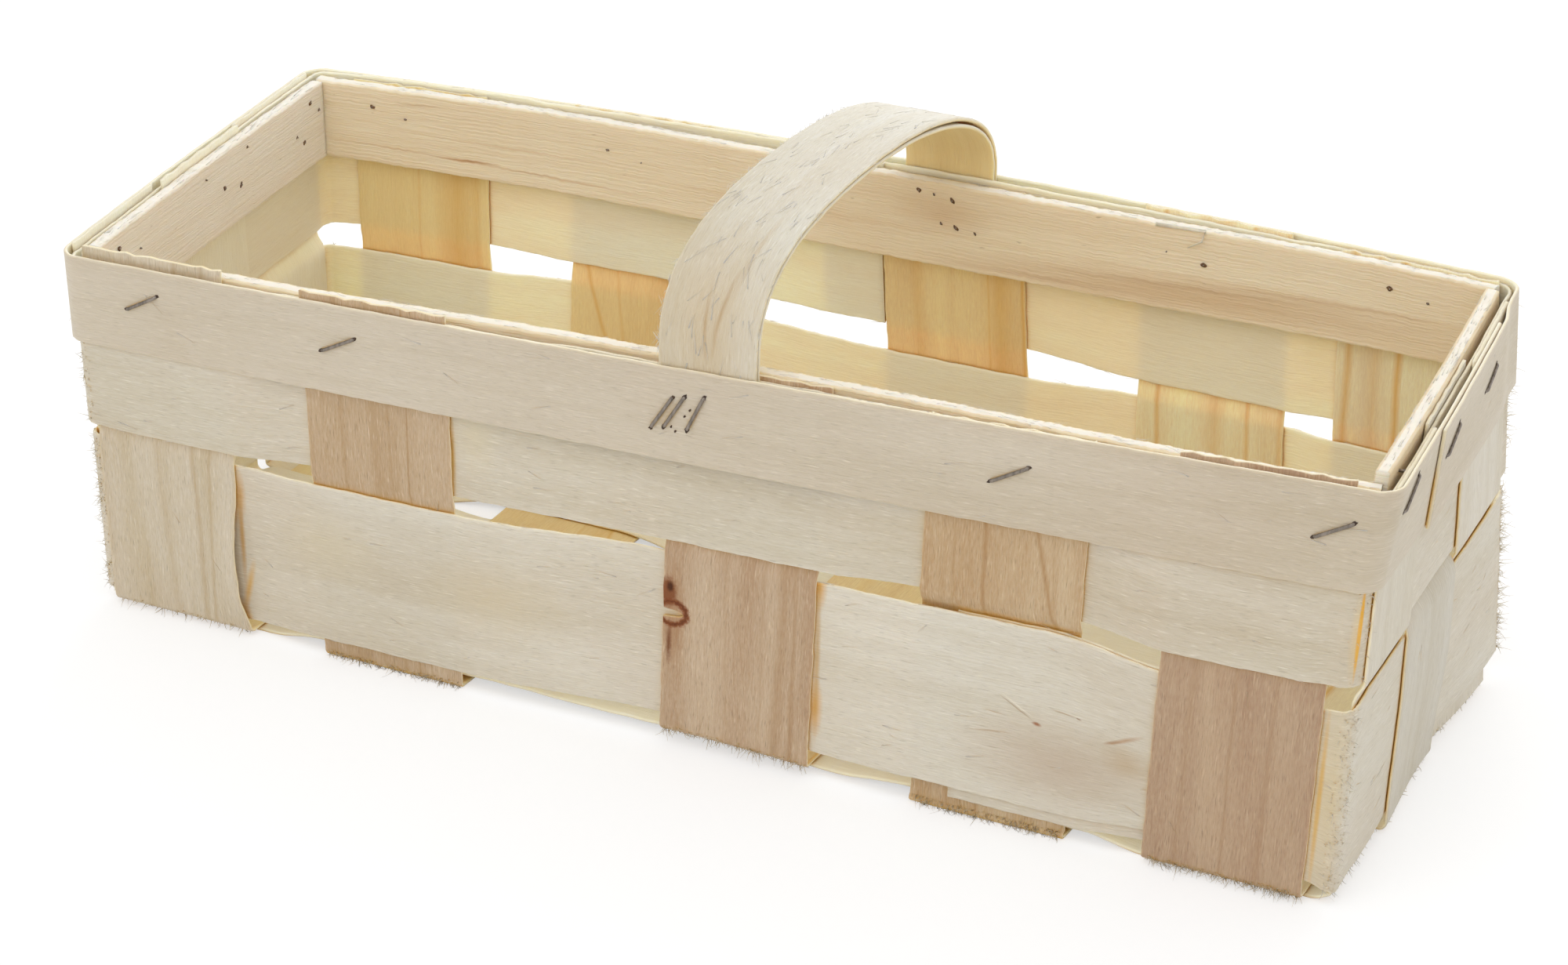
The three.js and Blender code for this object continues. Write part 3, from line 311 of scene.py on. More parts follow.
def settle(x, y, z):
    """The hand-made set of the whole box: a linear taper, corner strays blended bilinearly, parabolic bows that grow
    with the height, one corner pressed in, and a bell-shaped lift and tuck of the foot."""
    x, y, z = np.broadcast_arrays(x, y, z)
    t = np.clip(z / RIM_HEIGHT, 0, 1)
    u, v = np.clip(x / HALF_L, -1, 1), np.clip(y / HALF_W, -1, 1)
    share = {"FL": (1 - u) * (1 - v) / 4, "FR": (1 + u) * (1 - v) / 4,
             "BR": (1 + u) * (1 + v) / 4, "BL": (1 - u) * (1 + v) / 4}
    dx = -u * TAPER_LENGTH * (1 - t) + t * (1 - v * v) * (BOW["right"] * (1 + u) - BOW["left"] * (1 - u)) / 2
    dy = -v * TAPER_WIDTH * (1 - t) + t * (1 - u * u) * (BOW["back"] * (1 + v) - BOW["front"] * (1 - v)) / 2
    dz = np.zeros_like(x)
    for c, k in share.items():
        dx = dx + k * lerp(FOOT_STRAY[c][0], RIM_STRAY[c][0], t)
        dy = dy + k * lerp(FOOT_STRAY[c][1], RIM_STRAY[c][1], t)
        dz = dz + k * t * RIM_STRAY[c][2]
    below = np.clip((RIM_HEIGHT - z) / BAND_HEIGHT, 0, 1)
    dx = dx - CORNER_FLARE * below * smooth((x - HALF_L) / FLARE_FADE + 1) * (1 - v) / 2
    low = 1 - smooth(z / LOW_TOP)
    dz = dz + FOOT_LIFT * bell((x - LIFT_AT) / LIFT_SPREAD) * smooth((-y - LIFT_FROM) / LIFT_OVER) * low
    dx = dx - FOOT_TUCK * bell((y - TUCK_AT) / TUCK_SPREAD) * smooth((x - TUCK_FROM) / TUCK_OVER) * low
    return np.stack([x + dx, y + dy, z + dz], -1)


def handle_x(y):
    """Middle of the handle at y: a straight line from its front leg to its back leg."""
    return lerp(HANDLE_FRONT_X, HANDLE_BACK_X, (y + HALF_W) / RIM_WIDTH)


def push(x, y, fade):
    """How far a leg of the handle pushes the weave inwards: its two plies, fading to either side."""
    away = np.abs(x - handle_x(np.sign(y) * HALF_W))
    return HANDLE_STACK * (1 - smooth((away - HANDLE_WIDTH / 2 - PUSH_MARGIN) / fade))


def push_depth(z):
    """Share of the push at a height: from 0 at the upper weaver's foot to 1 at the band's lower edge, linear."""
    return np.clip((z - UPPER[0]) / (BAND_FOOT - UPPER[0]), 0, 1)


def wall_point(s, z, inset, fade=0.0):
    """A point of the wall: s round the plan, height z, inset from the outer face of the rim band."""
    s, z, inset = np.broadcast_arrays(s, z, inset)
    x, y, out, end = plan(s)
    depth = inset + (push(x, y, fade) * push_depth(z) * (1 - end) if fade else 0)
    return settle(x - out[..., 0] * depth, y - out[..., 1] * depth, z)


class Knots:
    """Values held at knots (at, half width, value) and eased from one to the next."""

    def __init__(self, knots):
        knots = sorted(knots, key=lambda k: k[0])
        self.at = np.array([k[0] for k in knots])
        self.half = np.array([k[1] for k in knots])
        self.value = np.array([k[2] for k in knots], float)

    def __call__(self, at):
        """The value at a place: the knot's own within its half width, eased from one to the next between two."""
        at = np.asarray(at, float)
        i = np.clip(np.searchsorted(self.at + self.half, at, side="left"), 1, len(self.at) - 1)
        a, b = i - 1, i
        start, stop = self.at[a] + self.half[a], self.at[b] - self.half[b]
        share = np.where(at >= stop, 1, smooth((at - start) / np.maximum(stop - start, 1e-6)))
        value = lerp(self.value[a], self.value[b], share)
        return np.where(at <= self.at[0] + self.half[0], self.value[0], value)


# ---------------------------------------------------------------- staves and weavers
STAVE_REACH = STRAIGHT_X - CROSS_MARGIN - CROSS_WIDTH / 2
CROSS = []
for i, row in enumerate(STAVE_RUN):
    places = [lerp(-STAVE_REACH, STAVE_REACH, share) for share in row[:4]]
    CROSS.append({
        "name": f"cross_stave_{i + 1}", "outside_lower": i % 2 == 0, "x": places, "proud": row[4:6],
        "width": CROSS_WIDTH - row[6], "hang": row[7],
    })
LONG_WIDTH = (2 * (HALF_W - INSET_LONG - FOOT_ROOM) - 2 * LONG_GAP) / 3
LONG = []
for i, (name, row) in enumerate(LONG_SET.items()):
    LONG.append({
        "name": name, "outside_lower": i == 1, "y": (i - 1) * (LONG_WIDTH + LONG_GAP), "proud": row[:2],
        "drift": row[2], "narrower": row[3], "width": LONG_WIDTH,
    })


def end_y(stave, side):
    """Middle of a long stave on an end wall: moved by its drift at the right."""
    return stave["y"] - (stave["drift"] if side == "right" else 0)


def cross_x(stave, side, z):
    """Middle of a cross stave at a height on a long wall: a straight line from foot to rim."""
    front, front_foot, back_foot, back = stave["x"]
    rim, foot = (front, front_foot) if side == "front" else (back, back_foot)
    return lerp(foot, rim, z / RIM_HEIGHT)


def turned(knots):
    """The same knots on four turns of the walk, so that a lapped strip finds them past its start."""
    return [(at + k * PERIMETER, half, value) for k in (-1, 0, 1, 2) for at, half, value in knots]


def softened(curve, reach=11.0):
    """The mean of a curve over a short stretch to either side, so that a strip's edge runs without steps."""
    return lambda at: sum(curve(at + shift) for shift in np.linspace(-reach, reach, 9)) / 9


class Course:
    """The course of a weaving strip: its swing in and out, and the heights of its two edges."""

    def __init__(self, edges, stray, outside):
        self.edges = edges
        middle = sum(edges) / 2
        swings, lows, highs = [], [], []
        for side, staves in (("front", CROSS), ("back", CROSS), ("left", LONG), ("right", LONG)):
            for stave, (low, high) in zip(staves, stray[side]):
                end = staves is LONG
                at = ON_WALL[side](end_y(stave, side) if end else cross_x(stave, side, middle))
                half = stave["width"] / 2 + (-WEAVER_HOLD if end else WEAVER_HOLD)
                way = 0.0 if end else -outside if stave["outside_lower"] else outside
                swings.append((at, half, way * WEAVER_SWING))
                lows.append((at, half, edges[0] + low))
                highs.append((at, half, edges[1] + high))
        for corner, (low, high) in stray["corner"].items():
            lows.append((ON_CORNER[corner], ARC / 2, edges[0] + low))
            highs.append((ON_CORNER[corner], ARC / 2, edges[1] + high))
        self.swing, self.low, self.high = Knots(turned(swings)), Knots(turned(lows)), Knots(turned(highs))
        self.soft_low, self.soft_high = softened(self.low), softened(self.high)


LOWER_COURSE = Course(LOWER, LOWER_STRAY, 1)
UPPER_COURSE = Course(UPPER, UPPER_STRAY, -1)


def fold(reach, d):
    """Along a stave: flat floor, a quarter circle of the foot radius, then straight up; position and normal."""
    flat, arc = reach - FOOT_RADIUS, FOOT_RADIUS * math.pi / 2
    side = np.where(d < 0, -1.0, 1.0)
    far = np.abs(d) - flat
    angle = np.clip(far / FOOT_RADIUS, 0, math.pi / 2)
    a = np.where(far <= 0, d, side * (flat + FOOT_RADIUS * np.sin(angle)))
    z = FLOOR + FOOT_RADIUS * (1 - np.cos(angle)) + np.maximum(far - arc, 0)
    return {"a": a, "z": z, "na": side * np.sin(angle), "nz": -np.cos(angle), "up": np.clip(far / arc, 0, 1)}


def fold_at(reach, side, z):
    """The inverse of fold() on a wall: half the flat floor, the quarter circle, and the rest of the height."""
    return side * (reach - FOOT_RADIUS + FOOT_RADIUS * math.pi / 2 + z - FLOOR - FOOT_RADIUS)


def knot_between(a, b, value):
    """A knot that holds its value from a to b."""
    return ((a + b) / 2, abs(b - a) / 2, value)


def wall_knots(reach, wall, side, span, low_swing, high_swing):
    """Knots of a stave on one wall: held against the lower weaver, then against the upper weaver."""
    places = ON_WALL[wall](np.linspace(*span, 5))
    lower = LOWER_COURSE.high(places).max() - CLEARANCE / 2
    upper = UPPER_COURSE.low(places).min() + CLEARANCE / 2
    foot = fold_at(reach, side, FLOOR + FOOT_RADIUS + CLEARANCE)
    top = fold_at(reach, side, RIM_HEIGHT)
    return [knot_between(foot, fold_at(reach, side, lower), low_swing),
            knot_between(fold_at(reach, side, upper), top, high_swing)]


LAP_FROM = STRAIGHT_X - LOWER_LAP_START


def cross_swing(stave):
    """Swing of a cross stave along its fold: none on the floor, to one side of the lower weaver, to the other side
    of the upper one, and by one more thickness behind the lap."""
    sign = 1 if stave["outside_lower"] else -1
    knots = [knot_between(-CROSS_REACH + FOOT_RADIUS, CROSS_REACH - FOOT_RADIUS, 0)]
    for side, name in ((-1, "front"), (1, "back")):
        left = cross_x(stave, name, LOWER[1]) - stave["width"] / 2
        right = left + stave["width"]
        lapped = name == "front" and left < LAP_FROM and right > LAP_FROM - LOWER_LAP_LENGTH
        low = sign * STAVE_SWING - (CROSSING if lapped and not stave["outside_lower"] else 0)
        knots += wall_knots(CROSS_REACH, name, side, (left, right), low, -sign * STAVE_SWING)
    return Knots(knots)


def hanging(at):
    """Share of the hang: 1 near the front wall's foot, eased to 0 along the floor and up the wall."""
    along = smooth((HANG_FADE + HANG_RUN - CROSS_REACH - at["a"]) / HANG_FADE)
    return along * (1 - smooth((at["z"] - LOWER[0]) / (HANG_TOP - LOWER[0])))


def cross_point(stave, swing, d, edge, n):
    """A point of a cross stave: d along its fold, edge across it from its middle, n out of its face."""
    at = fold(CROSS_REACH, d)
    across = (at["a"] + CROSS_REACH) / (2 * CROSS_REACH)
    front, front_foot, back_foot, back = stave["x"]
    foot = lerp(front_foot, back_foot, across)
    rise = at["z"] / RIM_HEIGHT
    wall = np.where(d < 0, lerp(front_foot, front, rise), lerp(back_foot, back, rise))
    x = lerp(foot, wall, at["up"]) + edge
    n = swing(d) + n
    pushed = push(x, np.where(d < 0, -1.0, 1.0), PUSH_FADE) * push_depth(at["z"])
    return settle(x, at["a"] + at["na"] * (n - pushed), at["z"] + at["nz"] * n - stave["hang"] * hanging(at))


def long_swing(stave):
    """Swing of a long stave along its fold: under and over the cross staves by turns, then as the weavers ask."""
    sign = 1 if stave["outside_lower"] else -1
    knots = []
    for cross in CROSS:
        across = (stave["y"] + CROSS_REACH) / (2 * CROSS_REACH)
        x = lerp(cross["x"][1], cross["x"][2], across)
        lean = abs(cross["x"][2] - cross["x"][1]) * stave["width"] / (4 * CROSS_REACH)
        half = cross["width"] / 2 + WEAVER_HOLD + lean
        inner = LONG_REACH - FOOT_RADIUS
        value = -sign * CROSSING if cross["outside_lower"] else sign * CROSSING
        knots.append(knot_between(max(x - half, -inner), min(x + half, inner), value))
    for side, name in ((-1, "left"), (1, "right")):
        middle = end_y(stave, name)
        span = (middle - stave["width"] / 2, middle + stave["width"] / 2)
        knots += wall_knots(LONG_REACH, name, side, span, sign * CROSSING, -sign * CROSSING)
    return Knots(knots)


def long_point(stave, swing, d, share, n):
    """A point of a long stave: d along its fold, share from its back edge to its front edge, n out of its face."""
    at = fold(LONG_REACH, d)
    run = (at["a"] + LONG_REACH) / (2 * LONG_REACH)
    back = stave["y"] + stave["width"] / 2 - stave["drift"] * run
    front = back - stave["width"] + stave["narrower"] * run
    # between the middle and the back stave the floor is split open under the second cross stave
    opened = smooth((at["a"] - SLIT_START) / SLIT_OPENS) * smooth((SLIT_END - at["a"]) / SLIT_CLOSES)
    slit = opened * (1 - at["up"])
    back = back + SLIT.get(stave["name"], (0, 0))[0] * slit
    front = front + SLIT.get(stave["name"], (0, 0))[1] * slit
    n = swing(d) + n
    return settle(at["a"] + at["na"] * n, lerp(back, front, share), at["z"] + at["nz"] * n)


# ---------------------------------------------------------------- meshes


def ripple(a, c, seed):
    """Slow waviness of a thin strip between -1 and 1: six sine waves of random direction and phase."""
    rng = np.random.default_rng(seed)
    total = 0
    for _ in range(6):
        fa, fc = rng.uniform(0.5, 1.6, 2) * 2 * math.pi / RIPPLE_WAVE
        total = total + np.sin(fa * a + fc * c * rng.uniform(0.3, 1.0) + rng.uniform(0, 6.28))
    return total / 6


def ragged(a, seed, wave=17.0):
    """Raggedness of a torn edge between about -1 and 1: five octaves of sine waves of random phase."""
    rng = np.random.default_rng(seed)
    total = 0
    for k in range(5):
        turns = 2 * math.pi / wave * 1.9 ** k * rng.uniform(0.8, 1.2)
        total = total + np.sin(a * turns + rng.uniform(0, 6.28)) / 1.5 ** k
    return total / 2


def profile(width, cells):
    """Closed cross-section of a strip, flat with rounded edges: shares across it, and offsets from -1 to 1 out of
    its face."""
    e = EDGE_ROUNDING / width
    inner = np.linspace(2.4 * e, 1 - 2.4 * e, cells + 1)
    across = np.concatenate([[0.3 * e, e], inner, [1 - e, 1 - 0.3 * e]])
    lift = np.concatenate([[0.7, 1.0], np.ones(cells + 1), [1.0, 0.7]])
    share = np.concatenate([[0.0], across, [1.0], across[::-1]])
    normal = np.concatenate([[0.0], lift, [0.0], -lift[::-1]])
    return share, normal


def closed_strip(points):
    """Faces of a closed strip: rings along it joined by quads, and a ladder of quads across each end."""
    rings, around = points.shape[:2]
    i, k = np.meshgrid(np.arange(rings - 1), np.arange(around), indexing="ij")
    a, b = i * around + k, i * around + (k + 1) % around
    quads = np.stack([a, b, b + around, a + around], -1).reshape(-1, 4)
    half = around // 2
    k = np.arange(1, half - 1)
    cap = np.stack([k, k + 1, around - k - 1, around - k], -1)
    ends = np.array([[0, 1, around - 1], [half - 1, half, half + 1]])
    last = (rings - 1) * around
    tris = np.concatenate([ends[:, ::-1], ends + last])
    quads = np.concatenate([quads, cap[:, ::-1], cap + last])
    return quads, tris


def make_mesh(name, points, quads, tris, material, grain=None):
    """Puts points in millimetres and faces into a mesh object at the origin, with its faces outwards."""
    vertices = points.reshape(-1, 3) * 0.001
    # six times the volume that the faces enclose: below 0, they point inwards
    a, b, c, d = (vertices[quads[:, k]] for k in range(4))
    volume = np.einsum("ij,ij->", a, np.cross(b, c)) + np.einsum("ij,ij->", a, np.cross(c, d))
    if len(tris):
        p, q, r = (vertices[tris[:, k]] for k in range(3))
        volume += np.einsum("ij,ij->", p, np.cross(q, r))
    if volume < 0:
        quads, tris = quads[:, ::-1], tris[:, ::-1]
    mesh = bpy.data.meshes.new(name)
    loops = np.concatenate([quads.ravel(), tris.ravel()]).astype(np.int32)
    sizes = np.concatenate([np.full(len(quads), 4), np.full(len(tris), 3)]).astype(np.int32)
    starts = np.concatenate([[0], np.cumsum(sizes)[:-1]]).astype(np.int32)
    mesh.vertices.add(len(vertices))
    mesh.vertices.foreach_set("co", vertices.astype(np.float32).ravel())
    mesh.loops.add(len(loops))
    mesh.loops.foreach_set("vertex_index", loops)
    mesh.polygons.add(len(sizes))
    mesh.polygons.foreach_set("loop_start", starts)
    mesh.polygons.foreach_set("loop_total", sizes)
    mesh.polygons.foreach_set("use_smooth", np.full(len(sizes), True))
    mesh.update(calc_edges=True)
    if grain is not None:
        layer = mesh.attributes.new("grain", "FLOAT_VECTOR", "POINT")
        layer.data.foreach_set("vector", grain.reshape(-1, 3).astype(np.float32).ravel())
    mesh.validate()
    mesh.materials.append(material)
    piece = bpy.data.objects.new(name, mesh)
    bpy.context.scene.collection.objects.link(piece)
    return piece


def dress(piece, node=None):
    """Ties a finished piece to the body, and hides the CAD part of the node it stands for, if any."""
    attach(piece, "root")
    if node:
        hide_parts(node)


# each finished strip's surface, by its CAD node: place, first and last station, width, half thickness
SURFACES = {}
# how far the pattern of each next piece is moved along and across the grain, in metres
GRAIN_STEP = (3.7, 0.61)


def grain_at(seed, a, y):
    """A place on piece number seed, a along and y across it in millimetres, in its pattern's metres."""
    return a * 0.001 + seed * GRAIN_STEP[0], y * 0.001 + seed * GRAIN_STEP[1]


def strip_piece(name, node, place, along, width, thickness, material, seed, cells, across=None):
    """A whole strip: its closed profile at each of its stations. place(a, share, n) puts a point a along it, share
    across it and n out of its face. Its grain is metres along and across it, and 1 on its outer face or -1 on its
    inner one."""
    share, normal = profile(width, cells)
    a = along[:, None] + 0 * share[None, :]
    c = share[None, :] + 0 * along[:, None]
    n = normal[None, :] * thickness / 2 + 0 * a
    points = place(a, c, n)
    points[..., 2] = np.maximum(points[..., 2], GROUND)
    side = np.sign(normal)[None, :] + 0 * a
    y = across(a, c) if across else (c - 0.5) * width
    grain = np.stack([*grain_at(seed, a, y), side], -1)
    quads, tris = closed_strip(points)
    SURFACES[node] = (place, along[0], along[-1], width, thickness / 2)
    dress(make_mesh(name, points, quads, tris, material, grain), node)


def stations(start, stop, step, extra=()):
    """Stations from start to stop, no further apart than step, with finer ones in the given spans."""
    marks = [np.linspace(start, stop, int(math.ceil((stop - start) / step)) + 1)]
    for a, b, fine in extra:
        marks.append(np.arange(max(a, start), min(b, stop), fine))
    marks = np.unique(np.concatenate(marks))
    keep = np.concatenate([[True], np.diff(marks) > NEAREST])
    return marks[keep]


def round_walk(start, stop):
    """Stations of a strip that runs round the box, finer at every corner it may pass."""
    return stations(start, stop, STEP, [
        (corner + k * PERIMETER - 2, corner + k * PERIMETER + ARC + 2, STEP_CORNER)
        for corner in STARTS + RUNS for k in (-1, 0, 1, 2)])


def under_floor(reach, proud, extra=()):
    """Stations of a stave from above one rim, down, under the floor and up above the other, finer at both folds."""
    flat = reach - FOOT_RADIUS
    return stations(fold_at(reach, -1, RIM_HEIGHT + proud[0]), fold_at(reach, 1, RIM_HEIGHT + proud[1]), STEP,
                    [(-flat - 4, -flat + 1.0, STEP_FOLD), (flat - 1.0, flat + 4, STEP_FOLD), *extra])


def on_piece(marks, seed, middle=0.0, along=lambda a: a, start=0.0):
    """Marks as spots in a piece's pattern. On a wall, along turns x into the way round the walk, a mark before the
    strip's start is one turn later, and heights count from the strip's middle."""
    spots = []
    for at, z, long, tall, turn, low, strength, code in marks:
        a = along(at)
        centre = grain_at(seed, a + (PERIMETER if a < start else 0), z - middle)
        spots.append((centre, (long * 0.001, tall * 0.001), turn, low, strength, code))
    return spots


# layers of the veneers' tone, as layered() takes them: narrow streaks of 8 mm by 200 mm, growth rings of 40 mm by
# 450 mm and clouds of 60 to 90 mm; the staves also have short open pores
WEAVER_GRAIN = [(5, 120, 3, 0.6, 0.4, 0.34, 0.66, 0.18), (2.2, 26, 3, 0.5, 1.1, 0.4, 0.68, 0.3),
                (11, 17, 3, 0.55, 0, 0.3, 0.7, 0.3)]
BAND_GRAIN = [(5, 100, 3, 0.6, 0.4, 0.34, 0.66, 0.26), (2.2, 26, 3, 0.5, 1.1, 0.4, 0.68, 0.26),
              (11, 17, 3, 0.55, 0, 0.3, 0.7, 0.22)]
STAVE_GRAIN = [(5, 110, 3, 0.6, 0.4, 0.34, 0.66, 0.36), (2.2, 26, 3, 0.5, 1.1, 0.4, 0.68, 0.45),
               (11, 17, 3, 0.55, 0, 0.3, 0.7, 0.22), (420, 2300, 2, 0.6, 0, 0.36, 0.64, 0.26)]
HANDLE_GRAIN = [(5, 92, 4, 0.62, 0.4, 0.34, 0.66, 0.36), (2.2, 26, 3, 0.5, 1.1, 0.4, 0.68, 0.3),
                (11, 17, 3, 0.55, 0, 0.3, 0.7, 0.22)]


# ---------------------------------------------------------------- colours and materials


def linear(code):
    """An sRGB hex colour as linear red, green and blue: each over 12.92 if dark, else shifted, to the power of 2.4."""
    code = code.lstrip("#")
    parts = [int(code[i:i + 2], 16) / 255 for i in (0, 2, 4)]
    return tuple(p / 12.92 if p <= 0.04045 else ((p + 0.055) / 1.055) ** 2.4 for p in parts)


def add_node(tree, kind, inputs=None, out=0, **settings):
    """Adds a node, sets its properties, fills its inputs with values or other nodes' outputs, returns an output."""
    node = tree.nodes.new("ShaderNode" + kind)
    for key, value in settings.items():
        setattr(node, key, value)
    for key, value in (inputs or {}).items():
        socket = node.inputs[key]
        if isinstance(value, bpy.types.NodeSocket):
            tree.links.new(value, socket)
        elif socket.type == "RGBA":
            socket.default_value = (*value[:3], 1.0)
        else:
            socket.default_value = value
    return node.outputs[out] if len(node.outputs) else None


def empty_nodes(owner):
    """Clears the nodes of a material or a world, and returns add_node() for its tree."""
    owner.use_nodes = True
    owner.node_tree.nodes.clear()
    return functools.partial(add_node, owner.node_tree)


def new_material(name):
    """An empty material, and add_node() for its tree."""
    material = bpy.data.materials.new(name)
    return material, empty_nodes(material)


def layered(add, vector, layers, total=0.0):
    """Sum of noises on a vector in metres. Each layer: waves to the metre along and across the grain, detail,
    roughness, distortion, the noise values that become 0 and 1, and its share of the sum."""
    for along, across, detail, roughness, distortion, low, high, amount in layers:
        stretched = add("VectorMath", {0: vector, 1: (along, across, 1.0)}, operation="MULTIPLY")
        pattern = add("TexNoise", {"Vector": stretched, "Scale": 1.0, "Detail": detail,
                                   "Roughness": roughness, "Distortion": distortion})
        band = add("MapRange", {0: pattern, 1: low, 2: high})
        total = add("Math", {0: band, 1: amount, 2: total}, operation="MULTIPLY_ADD")
    return total


def lined(add, x, y, wood, lines, colour, share=1.0):
    """Soft lines along the grain: distance across it from a centre that drifts with a slope, faded over a half
    width. Each line: x0 and y0 in metres, slope, half width, strength."""
    for x0, y0, slope, width, strength in lines:
        drift = add("Math", {0: x, 1: -slope, 2: slope * x0 - y0}, operation="MULTIPLY_ADD")
        off = add("Math", {0: add("Math", {0: y, 1: drift}, operation="ADD")}, operation="ABSOLUTE")
        near = add("MapRange", {0: off, 1: 0.0, 2: width, 3: strength, 4: 0.0})
        near = add("Math", {0: near, 1: share}, operation="MULTIPLY")
        wood = add("Mix", {0: near, 6: wood, 7: colour}, 2, data_type="RGBA")
    return wood


def spotted(add, place, wood, spots, shake=0.0):
    """Ellipses of colour: distance from a centre in metres, turned by an angle and divided by the half sizes, is
    roughened by noise and fades out from low to 1. Each spot: centre, half sizes, angle, low, strength, colour."""
    for centre, size, angle, low, strength, code in spots:
        off = add("VectorMath", {0: place, 1: (*centre, 0.0)}, operation="SUBTRACT")
        off = add("VectorRotate", {"Vector": off, "Angle": -math.radians(angle)}, rotation_type="Z_AXIS")
        off = add("VectorMath", {0: off, 1: (*size, 1.0)}, operation="DIVIDE")
        far = add("VectorMath", {0: off}, "Value", operation="LENGTH")
        far = add("Math", {0: far, 1: shake}, operation="ADD")
        near = add("MapRange", {0: far, 1: low, 2: 1.0, 3: strength, 4: 0.0})
        wood = add("Mix", {0: near, 6: wood, 7: linear(code)}, 2, data_type="RGBA")
    return wood


def veneer(name, pale, dark, inside, layers, fleck=0.3, blush=0.5, lines=(), inner_lines=(), spots=(), knot=None):
    """Rotary-peeled poplar or pine veneer, bare and matt: fibres run along the strip, broad darker bands
    are growth rings sliced flat, and light that soaks into the millimetre of wood comes out warmer. Inner faces also
    get painted light, paler and warmer, and creases get painted amber shade."""
    material, add = new_material(name)
    vector = add("Attribute", out="Vector", attribute_name="grain")
    x, y, side = add("SeparateXYZ", {0: vector}).node.outputs
    plain = add("CombineXYZ", {0: x, 1: y})
    # the grain wanders by up to 0.8 mm over 6 to 30 mm
    wander = layered(add, plain, [(34, 160, 2, 0.5, 0, 0, 1, 0.0016)], -0.0008)
    wavy = add("Math", {0: y, 1: wander}, operation="ADD")
    flat = add("CombineXYZ", {0: x, 1: wavy})
    # fibres of about 0.5 mm by 8 mm: real ones are 0.05 mm wide, too fine for the picture
    fibre = layered(add, flat, [(120, 2000, 3, 0.65, 0, 0.3, 0.7, 1)])
    tone = add("Math", {0: fibre, 1: 0.34, 2: layered(add, flat, layers)}, operation="MULTIPLY_ADD")
    tone = add("MapRange", {0: tone, 1: 0.14, 2: 1.12})
    wood = add("Mix", {0: tone, 6: pale, 7: dark}, 2, data_type="RGBA")
    # patches of 70 to 110 mm that are a little pinker, as the log weathered
    pinker = add("Mix", {0: 1.0, 6: wood, 7: (0.94, 0.885, 0.84)}, 2, data_type="RGBA", blend_type="MULTIPLY")
    patches = layered(add, flat, [(9, 15, 2, 0.5, 0.6, 0.45, 0.68, blush)])
    wood = add("Mix", {0: patches, 6: wood, 7: pinker}, 2, data_type="RGBA")
    # opened pores and torn fibres: dark and light dashes of 0.4 mm by 4 to 5 mm
    pores = layered(add, flat, [(260, 2500, 1, 0.5, 0, 0.6, 0.76, fleck)])
    wood = add("Mix", {0: pores, 6: wood, 7: tuple(v * 0.55 for v in dark)}, 2, data_type="RGBA")
    moved = add("VectorMath", {0: flat, 1: (3.1, 0.7, 0.0)}, operation="ADD")
    torn = layered(add, moved, [(200, 2100, 1, 0.5, 0, 0.6, 0.76, 0.45)])
    wood = add("Mix", {0: torn, 6: wood, 7: tuple(min(1.0, v * 1.18) for v in pale)}, 2, data_type="RGBA")
    wood = lined(add, x, wavy, wood, lines, tuple(a * b for a, b in zip(dark, (0.8, 0.66, 0.45))))
    wood = spotted(add, flat, wood, spots)
    if knot:
        wood = knotted(add, plain, wood, knot)
    # painted light: faces that look into the box take their own paler, warmer colour, as if lit through the wood, and
    # look smoother
    within = add("MapRange", {0: side, 1: 0.2, 2: -0.2})
    deep = tuple(a * (b / c) ** 0.6 for a, b, c in zip(inside, dark, pale))
    warm = add("Mix", {0: tone, 6: inside, 7: deep}, 2, data_type="RGBA")
    wood = add("Mix", {0: within, 6: wood, 7: warm}, 2, data_type="RGBA")
    wood = lined(add, x, wavy, wood, inner_lines, linear(AMBER_LINE), within)
    # cut edges are fresh and pale
    edge = add("Math", {0: side}, operation="ABSOLUTE")
    edge = add("MapRange", {0: edge, 1: 0.98, 2: 0.7, 4: 0.6})
    wood = add("Mix", {0: edge, 6: wood, 7: linear(CUT_EDGE)}, 2, data_type="RGBA")
    # painted shade: in creases within 2.5 mm of another strip, found by ambient occlusion, the colour turns amber, as
    # light there has gone through wood several times
    crease = add("AmbientOcclusion", {"Distance": 0.0025}, "AO", samples=4)
    crease = add("MapRange", {0: crease, 1: 0.3, 2: 0.8, 3: 0.85, 4: 0.0})
    # the painted crease shade is left off the split tops of the rim, where the creases are open and stay pale
    height = add("SeparateXYZ", {0: add("TexCoord", out="Object")}, "Z")
    closed = add("MapRange", {0: height, 1: 0.112, 2: 0.118, 3: 1.0, 4: 0.1})
    crease = add("Math", {0: crease, 1: closed}, operation="MULTIPLY")
    wood = add("Mix", {0: crease, 6: wood, 7: linear(CREASE_SHADE)}, 2, data_type="RGBA")
    bump = add("Bump", {"Height": fibre, "Strength": 0.45, "Distance": 0.0004})
    shader = add("BsdfPrincipled", {
        "Base Color": wood, "Roughness": 0.78, "Specular IOR Level": 0.28, "IOR": 1.45,
        "Subsurface Weight": 0.9, "Subsurface Radius": (1.0, 0.97, 0.78), "Subsurface Scale": 0.00095,
        "Normal": bump})
    add("OutputMaterial", {"Surface": shader})
    return material


